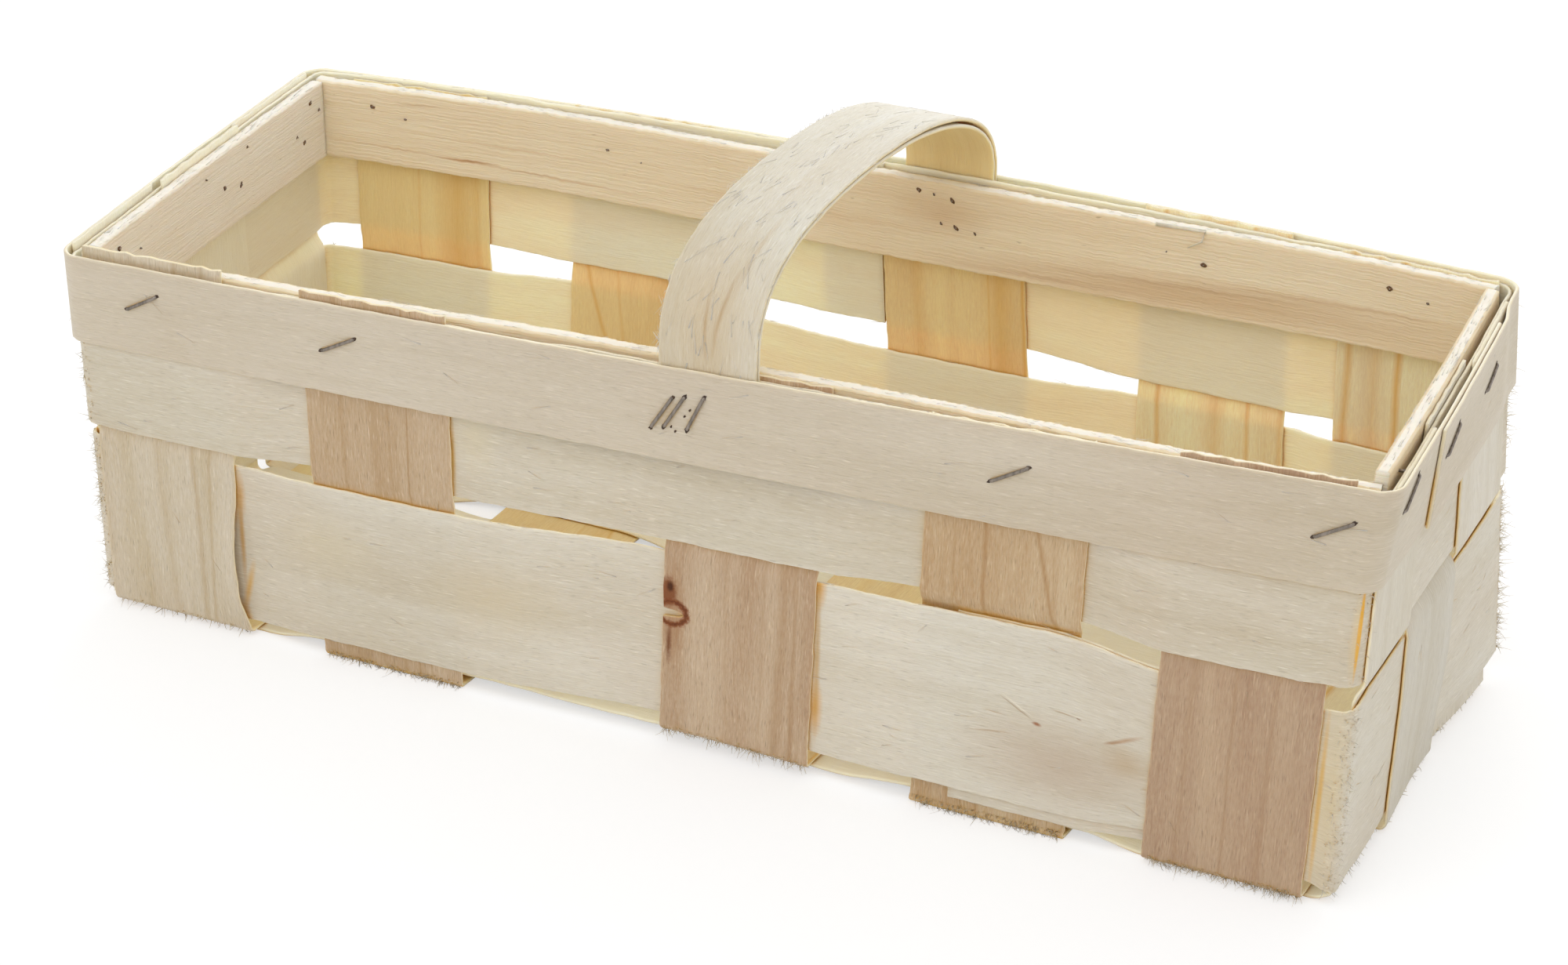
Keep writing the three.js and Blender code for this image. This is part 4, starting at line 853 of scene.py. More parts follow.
def knotted(add, place, wood, centre):
    """A dead knot at the strip's edge: dark patches above and below it, and a red-brown ring of bark, where the
    distance from its middle over its half sizes is near 0.95."""
    cx, cy = centre
    shake = layered(add, place, [(900, 900, 3, 0.6, 0, 0, 1, 0.5)], -0.25)
    wood = spotted(add, place, wood, (
        ((cx + 0.0012, cy + 0.0035), (0.021, 0.0042), 0, 0.35, 0.45, "#a8784a"),
        ((cx - 0.0070, cy + 0.0016), (0.0061, 0.0032), 0, 0.52, 0.95, "#8a5330"),
        ((cx - 0.0088, cy + 0.0022), (0.0022, 0.0013), 0, 0.4, 0.9, "#4f2c18"),
        ((cx + 0.0100, cy + 0.0022), (0.0090, 0.0011), 0, 0.2, 0.85, "#7d4b2b")), shake)
    off = add("VectorMath", {0: place, 1: (cx - 0.0002, cy + 0.0030, 0.0)}, operation="SUBTRACT")
    off = add("VectorMath", {0: off, 1: (0.0040, 0.0046, 1.0)}, operation="DIVIDE")
    far = add("VectorMath", {0: off}, "Value", operation="LENGTH")
    far = add("Math", {0: far, 1: shake}, operation="ADD")
    ring = add("Math", {0: add("Math", {0: far, 1: 0.95}, operation="SUBTRACT")}, operation="ABSOLUTE")
    for low, high, strength, code in ((0.12, 0.34, 0.95, "#8b4f2c"), (0.0, 0.12, 0.6, "#5a2f18")):
        near = add("MapRange", {0: ring, 1: low, 2: high, 3: strength, 4: 0.0})
        wood = add("Mix", {0: near, 6: wood, 7: linear(code)}, 2, data_type="RGBA")
    return wood


def sawn_slat(name, pale, dark, figure, spots=()):
    """Sawn softwood slat: cream wood with long late-wood lines, matt, its fibres cut open by the saw."""
    material, add = new_material(name)
    vector = add("Attribute", out="Vector", attribute_name="grain")
    x, y, side = add("SeparateXYZ", {0: vector}).node.outputs
    flat = add("CombineXYZ", {0: x, 1: y})
    fibre = layered(add, flat, [(60, 1500, 3, 0.6, 0, 0.3, 0.7, 1)])
    # late-wood lines about 8 mm apart that run for 600 mm, and broad soft bands
    tone = layered(add, flat, [(1.6, 120, 3, 0.55, 0.5, 0.46, 0.72, 0.42 * figure),
                               (1.5, 38, 2, 0.5, 0.6, 0.42, 0.64, 0.4 * figure),
                               (14, 22, 2, 0.5, 0, 0.3, 0.7, 0.2)])
    tone = add("Math", {0: fibre, 1: 0.22, 2: tone}, operation="MULTIPLY_ADD")
    tone = add("MapRange", {0: tone, 1: 0.1, 2: 1.25})
    wood = add("Mix", {0: tone, 6: pale, 7: dark}, 2, data_type="RGBA")
    specks = layered(add, flat, [(190, 620, 1, 0.5, 0, 0.75, 0.83, 0.45)])
    wood = add("Mix", {0: specks, 6: wood, 7: tuple(v * 0.4 for v in dark)}, 2, data_type="RGBA")
    wood = spotted(add, flat, wood, spots)
    # the split top edge is nearly white
    edge = add("Math", {0: side}, operation="ABSOLUTE")
    edge = add("MapRange", {0: edge, 1: 0.98, 2: 0.8, 4: 0.85})
    wood = add("Mix", {0: edge, 6: wood, 7: linear(SPLIT_TOP)}, 2, data_type="RGBA")
    bump = add("Bump", {"Height": fibre, "Strength": 0.5, "Distance": 0.0005})
    shader = add("BsdfPrincipled", {
        "Base Color": wood, "Roughness": 0.72, "Specular IOR Level": 0.3, "IOR": 1.45,
        "Subsurface Weight": 0.5, "Subsurface Radius": (1.0, 0.8, 0.5), "Subsurface Scale": 0.002,
        "Normal": bump})
    add("OutputMaterial", {"Surface": shader})
    return material


def staple_steel(name, colour):
    """Galvanised steel wire, dulled: grey-brown metal, darker and rougher in dull patches."""
    material, add = new_material(name)
    place = add("TexCoord", out="Object")
    # dull patches of about 1 mm
    dull = layered(add, place, [(900, 900, 2, 0.5, 0, 0.35, 0.7, 1)])
    metal = add("Mix", {0: dull, 6: colour, 7: tuple(v * 0.55 for v in colour)}, 2, data_type="RGBA")
    rough = add("MapRange", {0: dull, 3: 0.28, 4: 0.5})
    shader = add("BsdfPrincipled", {"Base Color": metal, "Metallic": 0.85, "Roughness": rough})
    add("OutputMaterial", {"Surface": shader})
    return material


def crushed_wood_and_shade(name, pale, dark):
    """Wood crushed and stained by a staple's leg, darker still as painted shade of its hole: dark, rough, and
    grey-brown in patches of 0.7 mm.
    """
    material, add = new_material(name)
    place = add("TexCoord", out="Object")
    grain = layered(add, place, [(1500, 1500, 2, 0.6, 0, 0.35, 0.65, 1)])
    wood = add("Mix", {0: grain, 6: pale, 7: dark}, 2, data_type="RGBA")
    shader = add("BsdfPrincipled", {"Base Color": wood, "Roughness": 0.85})
    add("OutputMaterial", {"Surface": shader})
    return material


def torn_fibre(name, colour):
    """Loose wood fibre: paler than the face it was torn from, and thin enough for light to soak through."""
    material, add = new_material(name)
    place = add("TexCoord", out="Object")
    shade = layered(add, place, [(300, 300, 2, 0.6, 0, 0.35, 0.65, 1)])
    wood = add("Mix", {0: shade, 6: colour, 7: tuple(v * 0.86 for v in colour)}, 2, data_type="RGBA")
    shader = add("BsdfPrincipled", {
        "Base Color": wood, "Roughness": 0.8, "Subsurface Weight": 0.5,
        "Subsurface Radius": (1.0, 0.72, 0.4), "Subsurface Scale": 0.001})
    add("OutputMaterial", {"Surface": shader})
    return material


# ---------------------------------------------------------------- what a user may change


def colour_of(name, description, code):
    """A colour that the user may change; its default is the hex colour, made linear."""
    return bpy.props.FloatVectorProperty(
        name=name, description=description, default=linear(code), size=3, subtype="COLOR", min=0.0, max=1.0)


def length_of(name, description, default, low, high):
    """A length in metres that the user may change between low and high."""
    return bpy.props.FloatProperty(
        name=name, description=description, default=default, min=low, max=high, subtype="DISTANCE", unit="LENGTH")


class BasketSizes(bpy.types.PropertyGroup):
    """Sizes that the user may change"""
    veneer: length_of("Veneer", "Thickness of staves and weavers", 0.001, 0.0004, 0.0012)
    ply: length_of("Handle ply", "Thickness of each of the handle's two plies", 0.0012, 0.0005, 0.0015)
    waviness: length_of("Waviness", "How far the faces of strips wander", 0.00012, 0.0, 0.0005)
    raggedness: length_of("Ragged edges", "How far the edges of strips wander", 0.00016, 0.0, 0.001)
    wire: length_of("Staple wire", "Width of the staple wire", 0.00105, 0.0005, 0.0014)
    fuzz: length_of("Fibre length", "Longest torn fibre at folds and corners", 0.0042, 0.0, 0.008)


class BasketColours(bpy.types.PropertyGroup):
    """Colours that the user may change"""
    weaver_pale: colour_of("Weaver pale", "Sapwood of the weaving strips", "#e5dfd1")
    weaver_dark: colour_of("Weaver dark", "Darker streaks of the weaving strips", "#cabda2")
    stave_pale: colour_of("Stave tint, pale", "Tint of the pale wood of the cross staves", "#ffffff")
    stave_dark: colour_of("Stave tint, dark", "Tint of the dark bands of the cross staves", "#ffffff")
    band_pale: colour_of("Band pale", "Pale wood of the rim band", "#ddd2c0")
    band_dark: colour_of("Band dark", "Darker streaks of the rim band", "#c7b99f")
    handle_pale: colour_of("Handle pale", "Pale wood of the handle", "#e7e4d9")
    handle_dark: colour_of("Handle dark", "Darker streaks of the handle", "#cfc2a6")
    slat_pale: colour_of("Slat pale", "Early wood of the slats", "#f3e6cb")
    slat_dark: colour_of("Slat dark", "Late wood of the slats", "#dcc096")
    # the two inner colours are painted light: paler and warmer, for light that soaks through the wood into the box
    weaver_inside_lit: colour_of("Weaver inside", "Inner faces of weaving strips and long staves", "#fff7e2")
    stave_inside_lit: colour_of("Stave inside", "Inner faces of cross staves and handle", "#fce9b6")
    steel: colour_of("Staple steel", "Dulled steel of the staples", "#948a80")
    floor: colour_of("Floor", "Plain pale floor", "#f2f2f2")


def settings():
    """The sizes and the colours that the user set."""
    scene = bpy.context.scene
    return scene.basket_sizes, scene.basket_colours


# ---------------------------------------------------------------- operators


class BASKET_OT_weavers(bpy.types.Operator):
    """Two weaving strips that run round the box, each lapped over its own start"""
    bl_idname = "basket.weavers"
    bl_label = "Weaving strips"

    def execute(self, context):
        sizes, colours = settings()
        thickness, wave, rag = sizes.veneer * 1000, sizes.waviness * 1000, sizes.raggedness * 1000
        lap_edge = cross_x(CROSS[2], "back", sum(UPPER) / 2) - CROSS[2]["width"] / 2
        for seed, name, course, start, lap, drop, marks in (
            (1, "lower_weaver", LOWER_COURSE, ON_WALL["front"](LAP_FROM), LOWER_LAP_LENGTH, LAP_DROP, LOWER_MARKS_AND_SHADE),
            (2, "upper_weaver", UPPER_COURSE, ON_WALL["back"](lap_edge - UPPER_LAP_START), UPPER_LAP_LENGTH, 0.0,
             UPPER_MARKS_LIGHT_AND_SHADE),
        ):
            # the marks hold painted shade beside the staves' edges and painted light at the upper strip's fold
            spots = on_piece(marks, seed, sum(course.edges) / 2, ON_WALL["front"], start)
            wood = veneer("peeled_poplar_" + name, colours.weaver_pale, colours.weaver_dark,
                          colours.weaver_inside_lit, WEAVER_GRAIN, spots=spots)
            meet = start + PERIMETER

            def place(a, c, n, course=course, meet=meet, seed=seed, drop=drop):
                """Between the course's two torn edges; the inset is the weave's, less the swing, plus the lap's step
                and the ripple."""
                low = course.soft_low(a) + rag * ragged(a, seed + 10)
                low = low - drop * smooth((a - meet + DROP_FROM) / DROP_OVER)
                z = lerp(low, course.soft_high(a) + rag * ragged(a, seed + 20), c)
                stepped = CROSSING * smooth((a - meet + LAP_RAMP) / (LAP_RAMP - LAP_LANDING))
                inset = lerp(INSET_LONG, INSET_END, plan(a)[3]) - course.swing(a) + stepped
                return wall_point(a, z, inset - n + wave * ripple(a, z, seed + 30), PUSH_FADE)

            strip_piece(name + "_veneer", name, place, round_walk(start, meet + lap),
                        LOWER_HEIGHT, thickness, wood, seed, cells=18)
        return {"FINISHED"}


def torn_end(a, c, width, reach, seed, tear):
    """Way along a stave with torn ends: near both ends it is moved by raggedness that runs across the stave."""
    end = fold_at(reach, 1, RIM_HEIGHT)
    return a + np.sign(a) * tear * ragged(c * width, seed, 9.0) * smooth((np.abs(a) - end + 6) / 6)


def stave_height(d):
    """Height on a wall of the place d along a cross stave's fold, before the box settles."""
    return np.abs(d) - fold_at(CROSS_REACH, 1, 0)


def notch_depth(a, centre):
    """Depth of the broken-out notch in a stave's edge: half an ellipse round its centre."""
    return NOTCH_DEEP * np.sqrt(np.clip(1 - ((a - centre) / (NOTCH_TALL / 2)) ** 2, 0, 1))


class BASKET_OT_cross_staves(bpy.types.Operator):
    """Five staves that run under the box and up its long walls"""
    bl_idname = "basket.cross_staves"
    bl_label = "Cross staves"

    def execute(self, context):
        sizes, colours = settings()
        thickness, wave, rag = sizes.veneer * 1000, sizes.waviness * 1000, sizes.raggedness * 1000
        for i, stave in enumerate(CROSS):
            swing, width, seed = cross_swing(stave), stave["width"], 3 + i
            pale, dark = (tuple(a * b for a, b in zip(linear(code), tint))
                          for code, tint in zip(STAVE_WOOD[i], (colours.stave_pale, colours.stave_dark)))
            lines, inner = [
                [(*grain_at(seed, fold_at(CROSS_REACH, side, z), y), slope, wide * 0.001, strength)
                 for z, y, slope, wide, strength in rows[i]]
                for rows, side in ((STAVE_LINES, -1), (INNER_LINES, 1))]
            notch = fold_at(CROSS_REACH, -1, KNOT_HEIGHT) if i == KNOT_STAVE else None
            # painted light: the last two staves' inner faces take the palest lit colour
            inside = linear(PALEST_INSIDE_LIT) if i >= 3 else colours.stave_inside_lit
            wood = veneer("peeled_pine_" + stave["name"], pale, dark, inside, STAVE_GRAIN,
                          fleck=0.5, blush=0.6, lines=lines, inner_lines=inner,
                          knot=grain_at(seed, notch, -width / 2) if notch else None)

            def across(a, c, i=i, half=width / 2, notch=notch):
                """Between the two torn edges, moved by the notch at the left one and by the first stave's shape at
                the right one, less and less with the distance from that edge."""
                y = lerp(-half + rag * ragged(a, 40 + i), half + rag * ragged(a, 50 + i), c)
                if notch:
                    y = y + notch_depth(a, notch) * np.clip(1 - c / NOTCH_SHARE, 0, 1) ** 2
                if i == 0:
                    z = stave_height(a)
                    wider = WIDER * smooth((WIDER_TOP - z) / WIDER_TOP)
                    y = y + c ** 4 * (a < 0) * (wider - WAIST * smooth(1 - np.abs(z - WAIST_AT) / WAIST_SPREAD))
                return y

            def place(a, c, n, stave=stave, swing=swing, i=i, across=across):
                """On the stave's fold, off its face by the ripple and, at the first stave's right edge, by the curl."""
                a = torn_end(a, c, stave["width"], CROSS_REACH, 300 + i, TEAR_CROSS)
                lift = wave * ripple(a, c * stave["width"], 60 + i)
                if i == 0:
                    z = stave_height(a)
                    lift = lift + CURL * (smooth((c - 1 + CURL_SHARE) / CURL_SHARE) * smooth(z / CURL_RISE)
                                          * smooth((CURL_TOP - z) / CURL_FALL) * (a < 0))
                return cross_point(stave, swing, a, across(a, c), n + lift)

            fine = [(notch - 2.0, notch + 2.0, STEP_NOTCH)] if notch else []
            strip_piece(stave["name"] + "_veneer", stave["name"], place,
                        under_floor(CROSS_REACH, stave["proud"], fine), width, thickness, wood, seed, cells=16,
                        across=across)
        return {"FINISHED"}


class BASKET_OT_long_staves(bpy.types.Operator):
    """Three staves that run along the floor and up the end walls"""
    bl_idname = "basket.long_staves"
    bl_label = "Long staves"

    def execute(self, context):
        sizes, colours = settings()
        thickness, wave, rag = sizes.veneer * 1000, sizes.waviness * 1000, sizes.raggedness * 1000
        for i, stave in enumerate(LONG):
            shade = HEART_SHADE if i == 1 else 1.0
            pale, dark = (tuple(v * shade for v in tone) for tone in (colours.weaver_pale, colours.weaver_dark))
            wood = veneer("peeled_poplar_" + stave["name"], pale, dark, colours.weaver_inside_lit, BAND_GRAIN)

            def place(a, c, n, stave=stave, swing=long_swing(stave), i=i):
                """On the stave's fold, moved across it by the torn edges and off its face by the ripple."""
                a = torn_end(a, c, stave["width"], LONG_REACH, 309 + i, TEAR_LONG)
                share = c + rag * lerp(ragged(a, 70 + i), ragged(a, 80 + i), c) / stave["width"]
                return long_point(stave, swing, a, share, n + wave * ripple(a, c * stave["width"], 90 + i))

            strip_piece(stave["name"] + "_veneer", stave["name"], place,
                        under_floor(LONG_REACH, stave["proud"]), stave["width"], thickness, wood, 9 + i, cells=14)
        return {"FINISHED"}


class BASKET_OT_rim(bpy.types.Operator):
    """Rim band outside, lapped on the right wall, and four rim slats inside"""
    bl_idname = "basket.rim"
    bl_label = "Rim band and slats"

    def execute(self, context):
        sizes, colours = settings()
        wave, rag = sizes.waviness * 1000, sizes.raggedness * 1000
        wood = veneer("peeled_poplar_rim_band", colours.band_pale, colours.band_dark,
                      colours.weaver_inside_lit, BAND_GRAIN, fleck=0.25, blush=0.4)
        start = ON_WALL["right"](STRAIGHT_Y - BAND_LAP_START)
        meet = start + PERIMETER
        step = BAND_THICKNESS + CLEARANCE

        def place(a, c, n):
            """Between the band's two torn edges; its outer face is at 0, one step further out in the lap."""
            stepped = step * smooth((a - meet + LAP_RAMP) / (LAP_RAMP - LAP_LANDING))
            z = lerp(BAND_FOOT + rag * ragged(a, 101), RIM_HEIGHT + 0.7 * rag * ragged(a, 102), c)
            return wall_point(a, z, -stepped + BAND_THICKNESS / 2 - n - 0.5 * wave * (1 + ripple(a, z, 103)))

        strip_piece("rim_band_veneer", "rim_band", place, round_walk(start, meet + BAND_LAP_LENGTH),
                    BAND_HEIGHT, BAND_THICKNESS, wood, 13, cells=12)

        slat_end_x = HALF_L - SLAT_INSET_END + SLAT_THICKNESS / 2
        slat_end_y = HALF_W - SLAT_INSET_LONG - SLAT_THICKNESS / 2 - CLEARANCE
        for i, (wall, drop) in enumerate(SLAT_DROP.items()):
            end = wall in ("left", "right")
            half, inset = (slat_end_y, SLAT_INSET_END) if end else (slat_end_x, SLAT_INSET_LONG)
            first = min(ON_WALL[wall](-half), ON_WALL[wall](half))

            def place(a, c, n, i=i, half=half, inset=inset, first=first, drop=drop, end=end):
                """The top edge slopes from one end's drop to the other's and is ragged; the bottom edge follows it."""
                top = RIM_HEIGHT - lerp(drop[0], drop[1], (a - first) / (2 * half))
                top = top + rag * (ragged(a, 110 + i) + 0.8 * ragged(a, 115 + i, 3.0))
                z = top - SLAT_HEIGHT * (1 - c)
                return wall_point(a, z, inset - n + 0.5 * wave * ripple(a, z, 120 + i), 0 if end else SLAT_FADE)

            pale, figure, spots = colours.slat_pale, 1.0, ()
            if wall == "left":
                pale, figure = linear(LEFT_SLAT), 0.25
            if wall == "back":
                spots = on_piece(BACK_SLAT_MARKS, 14 + i, RIM_HEIGHT - drop[0] - SLAT_HEIGHT / 2, ON_WALL["back"])
            wood = sawn_slat("sawn_pine_" + wall + "_slat", pale, colours.slat_dark, figure, spots)
            strip_piece(wall + "_slat", wall + "_rim_slat", place,
                        stations(first, first + 2 * half, STEP_SLAT), SLAT_HEIGHT, SLAT_THICKNESS, wood, 14 + i,
                        cells=10)
        return {"FINISHED"}


def bezier(p0, p1, p2, p3, t):
    """A cubic curve by its four control points, and its unit tangent."""
    t = t[:, None]
    at = (1 - t) ** 3 * p0 + 3 * (1 - t) ** 2 * t * p1 + 3 * (1 - t) * t ** 2 * p2 + t ** 3 * p3
    along = 3 * (1 - t) ** 2 * (p1 - p0) + 6 * (1 - t) * t * (p2 - p1) + 3 * t ** 2 * (p3 - p2)
    return at, along / np.linalg.norm(along, axis=1, keepdims=True)


def arch(inset, drop, parting):
    """The handle's line in the YZ plane, its tangent, and how far it is parted from the other ply. The line is a
    leg, two cubic curves that meet at the crown, and a leg; the parting is a squared sine along the second curve."""
    front, back = -HALF_W + inset, HALF_W - inset
    crown, foot, top = RIM_HEIGHT + HANDLE_RISE - drop, BAND_FOOT + HANDLE_COVER, RIM_HEIGHT + HANDLE_SPRINGING
    leg = np.linspace(foot, top, 15)
    s = np.linspace(0, 1, 41)
    halves = []
    for side, full in ((front, FULLNESS_FRONT), (back, FULLNESS_BACK)):
        halves.append(np.array([(side, top), (side, top + full * (crown - top)),
                                (CROWN_SHIFT + full * (side - CROWN_SHIFT), crown), (CROWN_SHIFT, crown)]))
    one, along_one = bezier(*halves[0], s)
    two, along_two = bezier(*halves[1][::-1], s)
    at = np.concatenate([np.stack([0 * leg + front, leg], -1), one[1:], two[1:],
                         np.stack([0 * leg + back, leg], -1)[-2::-1]])
    up, down = np.tile([0.0, 1.0], (len(leg), 1)), np.tile([0.0, -1.0], (len(leg) - 1, 1))
    along = np.concatenate([up, along_one[1:], along_two[1:], down])
    parted = np.zeros(len(at))
    parted[len(leg) + 40:len(leg) + 80] = parting * np.sin(math.pi * s[1:]) ** 2
    return at, along, parted


class BASKET_OT_handle(bpy.types.Operator):
    """Two plies of veneer bent into one arch, with their legs between the rim band and the weave"""
    bl_idname = "basket.handle"
    bl_label = "Handle"

    def execute(self, context):
        sizes, colours = settings()
        thickness, rag = sizes.ply * 1000, sizes.raggedness * 1000
        wood = veneer("peeled_poplar_handle", colours.handle_pale, colours.handle_dark,
                      colours.stave_inside_lit, HANDLE_GRAIN, spots=on_piece(HANDLE_MARKS, 19))
        for name, inset, drop, parting, seed in (
            ("handle_outer_ply", OUTER_PLY_INSET, 0.0, 0.0, 19),
            ("handle_inner_ply", INNER_PLY_INSET, PLY_THICKNESS + CLEARANCE, PLY_PARTING, 20),
        ):
            line, tangent, parted = arch(inset, drop, parting)
            length = np.concatenate([[0], np.cumsum(np.linalg.norm(np.diff(line, axis=0), axis=1))])

            def place(a, c, n, line=line, tangent=tangent, parted=parted, length=length, seed=seed):
                """On the arch, off its line by n and the parting at right angles to the tangent, and across it
                between the two torn edges."""
                y, z, ty, tz = (np.interp(a, length, column) for column in (*line.T, *tangent.T))
                size = np.hypot(ty, tz)
                n = n - np.interp(a, length, parted)
                left = -HANDLE_WIDTH / 2 + 0.8 * rag * ragged(a, seed + 200)
                right = HANDLE_WIDTH / 2 + 0.8 * rag * ragged(a, seed + 210)
                return settle(handle_x(y) + lerp(left, right, c), y - tz / size * n, z + ty / size * n)

            strip_piece(name + "_veneer", name, place, length, HANDLE_WIDTH, thickness,
                        wood, seed, cells=12)
        return {"FINISHED"}


def staple_frame(wall, row):
    """Where a staple sits: a function of (across, inset, edge), half its span, crown inset and tip inset."""
    on, aside, drop, turn = row
    end, side = wall in ("left", "right"), -1.0 if wall == "front" else 1.0
    if on == AT_HANDLE:
        middle, width = handle_x(side * HALF_W), HANDLE_WIDTH
    elif end:
        middle, width = end_y(LONG[on], wall), LONG_WIDTH
    else:
        middle, width = CROSS[on]["x"][0 if wall == "front" else 3], CROSS[on]["width"]
    along = middle + aside * width
    turn = math.radians(turn)
    slat = SLAT_INSET_END if end else SLAT_INSET_LONG + push(along, side, SLAT_FADE)
    edge = STRAIGHT_Y - BAND_LAP_START
    lapped = wall == "right" and edge - BAND_LAP_LENGTH < along < edge
    outer = -BAND_THICKNESS - CLEARANCE if lapped else 0.0

    def at(across, inset, edge):
        """A point of the wall: across the crown's middle and edge above it, both turned with the staple."""
        s = ON_WALL[wall](along + across * math.cos(turn) - edge * math.sin(turn))
        z = RIM_HEIGHT - drop * BAND_HEIGHT + across * math.sin(turn) + edge * math.cos(turn)
        return wall_point(s, z, inset)

    return at, (STAPLE_CROWN - STAPLE_WIRE) / 2, outer, float(slat) + SLAT_THICKNESS / 2 + STAPLE_TIP


def staple_wire(at, half, crown, tip, wire):
    """A round wire along leg, quarter-circle bend, crown, bend and leg; at() lays it on the wall."""
    ring = np.arange(10) * 2 * math.pi / 10
    angle = np.linspace(0, math.pi / 2, 7)
    right = half - STAPLE_BEND + STAPLE_BEND * np.cos(angle)
    deep = crown + STAPLE_BEND - STAPLE_BEND * np.sin(angle)
    legs = np.linspace(tip, crown + STAPLE_BEND, 5)[:-1]
    middle = np.linspace(-half + STAPLE_BEND, half - STAPLE_BEND, 7)[1:-1]
    across = np.concatenate([-half + 0 * legs, -right, middle, right[::-1], half + 0 * legs])
    inset = np.concatenate([legs, deep, np.full(5, crown), deep[::-1], legs[::-1]])
    out_a = np.concatenate([-1 + 0 * legs, -np.cos(angle), np.zeros(5), np.cos(angle)[::-1], 1 + 0 * legs])
    out_i = np.concatenate([0 * legs, -np.sin(angle), -np.ones(5), -np.sin(angle)[::-1], 0 * legs])
    radius = np.full(len(across), wire / 2)
    radius[[0, -1]] *= 0.45
    flat = radius[:, None] * 0.8 * np.cos(ring)[None, :]
    wide = radius[:, None] * np.sin(ring)[None, :]
    return at(across[:, None] + out_a[:, None] * flat, inset[:, None] + out_i[:, None] * flat, wide)


def bruises_and_shade(name, places, material, seed):
    """Flat lenses of crushed wood that also paint the shade of the holes: each a ragged ring of ten points with one
    point above and one below it.
    A place is (at, across, edge, inset of the face, 1 or -1 for the side it faces, half length, half width)."""
    rng = np.random.default_rng(seed)
    k, after = np.arange(10), (np.arange(10) + 1) % 10
    turn = k * 2 * math.pi / 10
    points = []
    for at, across, edge, inset, facing, long, wide in places:
        rough = rng.uniform(0.7, 1.25, 10)
        dx, dy = long * rough * np.cos(turn), wide * rough * np.sin(turn)
        points.append(at(across + dx, inset + 0 * dx - facing * 0.02, edge + dy))
        points.append(at(np.full(2, across), inset - facing * np.array([0.16, -0.25]), np.full(2, edge)))
    lens = np.concatenate([np.stack([k, after, 10 + 0 * k], -1), np.stack([after, k, 11 + 0 * k], -1)])
    tris = (np.arange(len(places))[:, None, None] * 12 + lens).reshape(-1, 3)
    dress(make_mesh(name, np.concatenate(points), np.zeros((0, 4), int), tris, material))


class BASKET_OT_staples(bpy.types.Operator):
    """Steel staples through the rim, each a round wire bent twice, its legs ending just proud of the slat"""
    bl_idname = "basket.staples"
    bl_label = "Staples"

    def execute(self, context):
        sizes, colours = settings()
        steel = staple_steel("dulled_steel_wire", colours.steel)
        wire = sizes.wire * 1000
        outside, inside = [], []
        for wall, rows in STAPLE_ROWS.items():
            for k, row in enumerate(rows):
                at, half, outer, tip = staple_frame(wall, row)
                points = staple_wire(at, half, outer - 0.16 - wire * 0.4, tip, wire)
                node = f"{wall}_staple_{k + 1}"
                quads, tris = closed_strip(points)
                dress(make_mesh(node + "_wire", points, quads, tris, steel), node)
                for side in (-1, 1):
                    outside.append((at, side * (half + 0.1), 0.0, outer - 0.1, 1, 0.95, 0.62))
                    size = (0.62, 0.34) if (k + (side > 0)) % 2 else (0.95, 0.7)
                    inside.append((at, side * half, 0.0, tip - STAPLE_TIP + 0.06, -1, *size))
        # small dark lenses beside the fourth staple of the front wall, of the same stained wood and painted shade
        at, half, outer, tip = staple_frame("front", STAPLE_ROWS["front"][3])
        for across, edge in ((-4.9, -3.4), (-4.5, -1.7), (0.9, -3.1), (3.6, -3.3)):
            outside.append((at, across, edge, outer - 0.1, 1, 0.5, 0.3))
        # painted shade: the dark lenses at the legs and tips paint the shade of the holes as well as the stained wood
        crushed = crushed_wood_and_shade("stained_wood_and_painted_shade_round_staples", *map(linear, CRUSHED_AND_SHADE))
        bruises_and_shade("staple_marks_outside", outside, crushed, 31)
        torn = crushed_wood_and_shade("torn_wood_and_painted_shade_round_staple_tips", *map(linear, TORN_AND_SHADE))
        bruises_and_shade("staple_marks_inside", inside, torn, 32)
        return {"FINISHED"}


# ---------------------------------------------------------------- torn fibres
# A group of fibres is its paths of four points each, the normals of the face they are on, and their widths.
HAIR = np.linspace(0, 1, 4)


def fibres(name, groups, material):
    """Torn fibres: each a three-sided needle along its path, tapered to a quarter of its width."""
    paths, normals, widths = (np.concatenate(part) for part in zip(*groups))
    count, rings = paths.shape[:2]
    along = np.gradient(paths, axis=1)
    along /= np.maximum(np.linalg.norm(along, axis=2, keepdims=True), 1e-9)
    side = np.cross(along, normals[:, None, :])
    side /= np.maximum(np.linalg.norm(side, axis=2, keepdims=True), 1e-9)
    up = np.cross(side, along)
    taper = widths[:, None] * np.linspace(1.0, 0.25, rings)[None, :] / 2
    turn = np.arange(3) * 2 * math.pi / 3
    points = paths[:, :, None, :] + taper[:, :, None, None] * (
        side[:, :, None, :] * np.cos(turn)[:, None] + 0.5 * up[:, :, None, :] * np.sin(turn)[:, None])
    points[..., 2] = np.maximum(points[..., 2], FIBRE_GROUND)
    first = np.arange(count) * rings * 3
    r, k = np.meshgrid(np.arange(rings - 1), np.arange(3), indexing="ij")
    a, b = (r * 3 + k).ravel(), (r * 3 + (k + 1) % 3).ravel()
    quads = (first[:, None, None] + np.stack([a, b, b + 3, a + 3], -1)[None]).reshape(-1, 4)
    last = (rings - 1) * 3
    ends = np.array([[2, 1, 0], [last, last + 1, last + 2]])
    tris = (first[:, None, None] + ends[None]).reshape(-1, 3)
    dress(make_mesh(name, points, quads, tris, material))


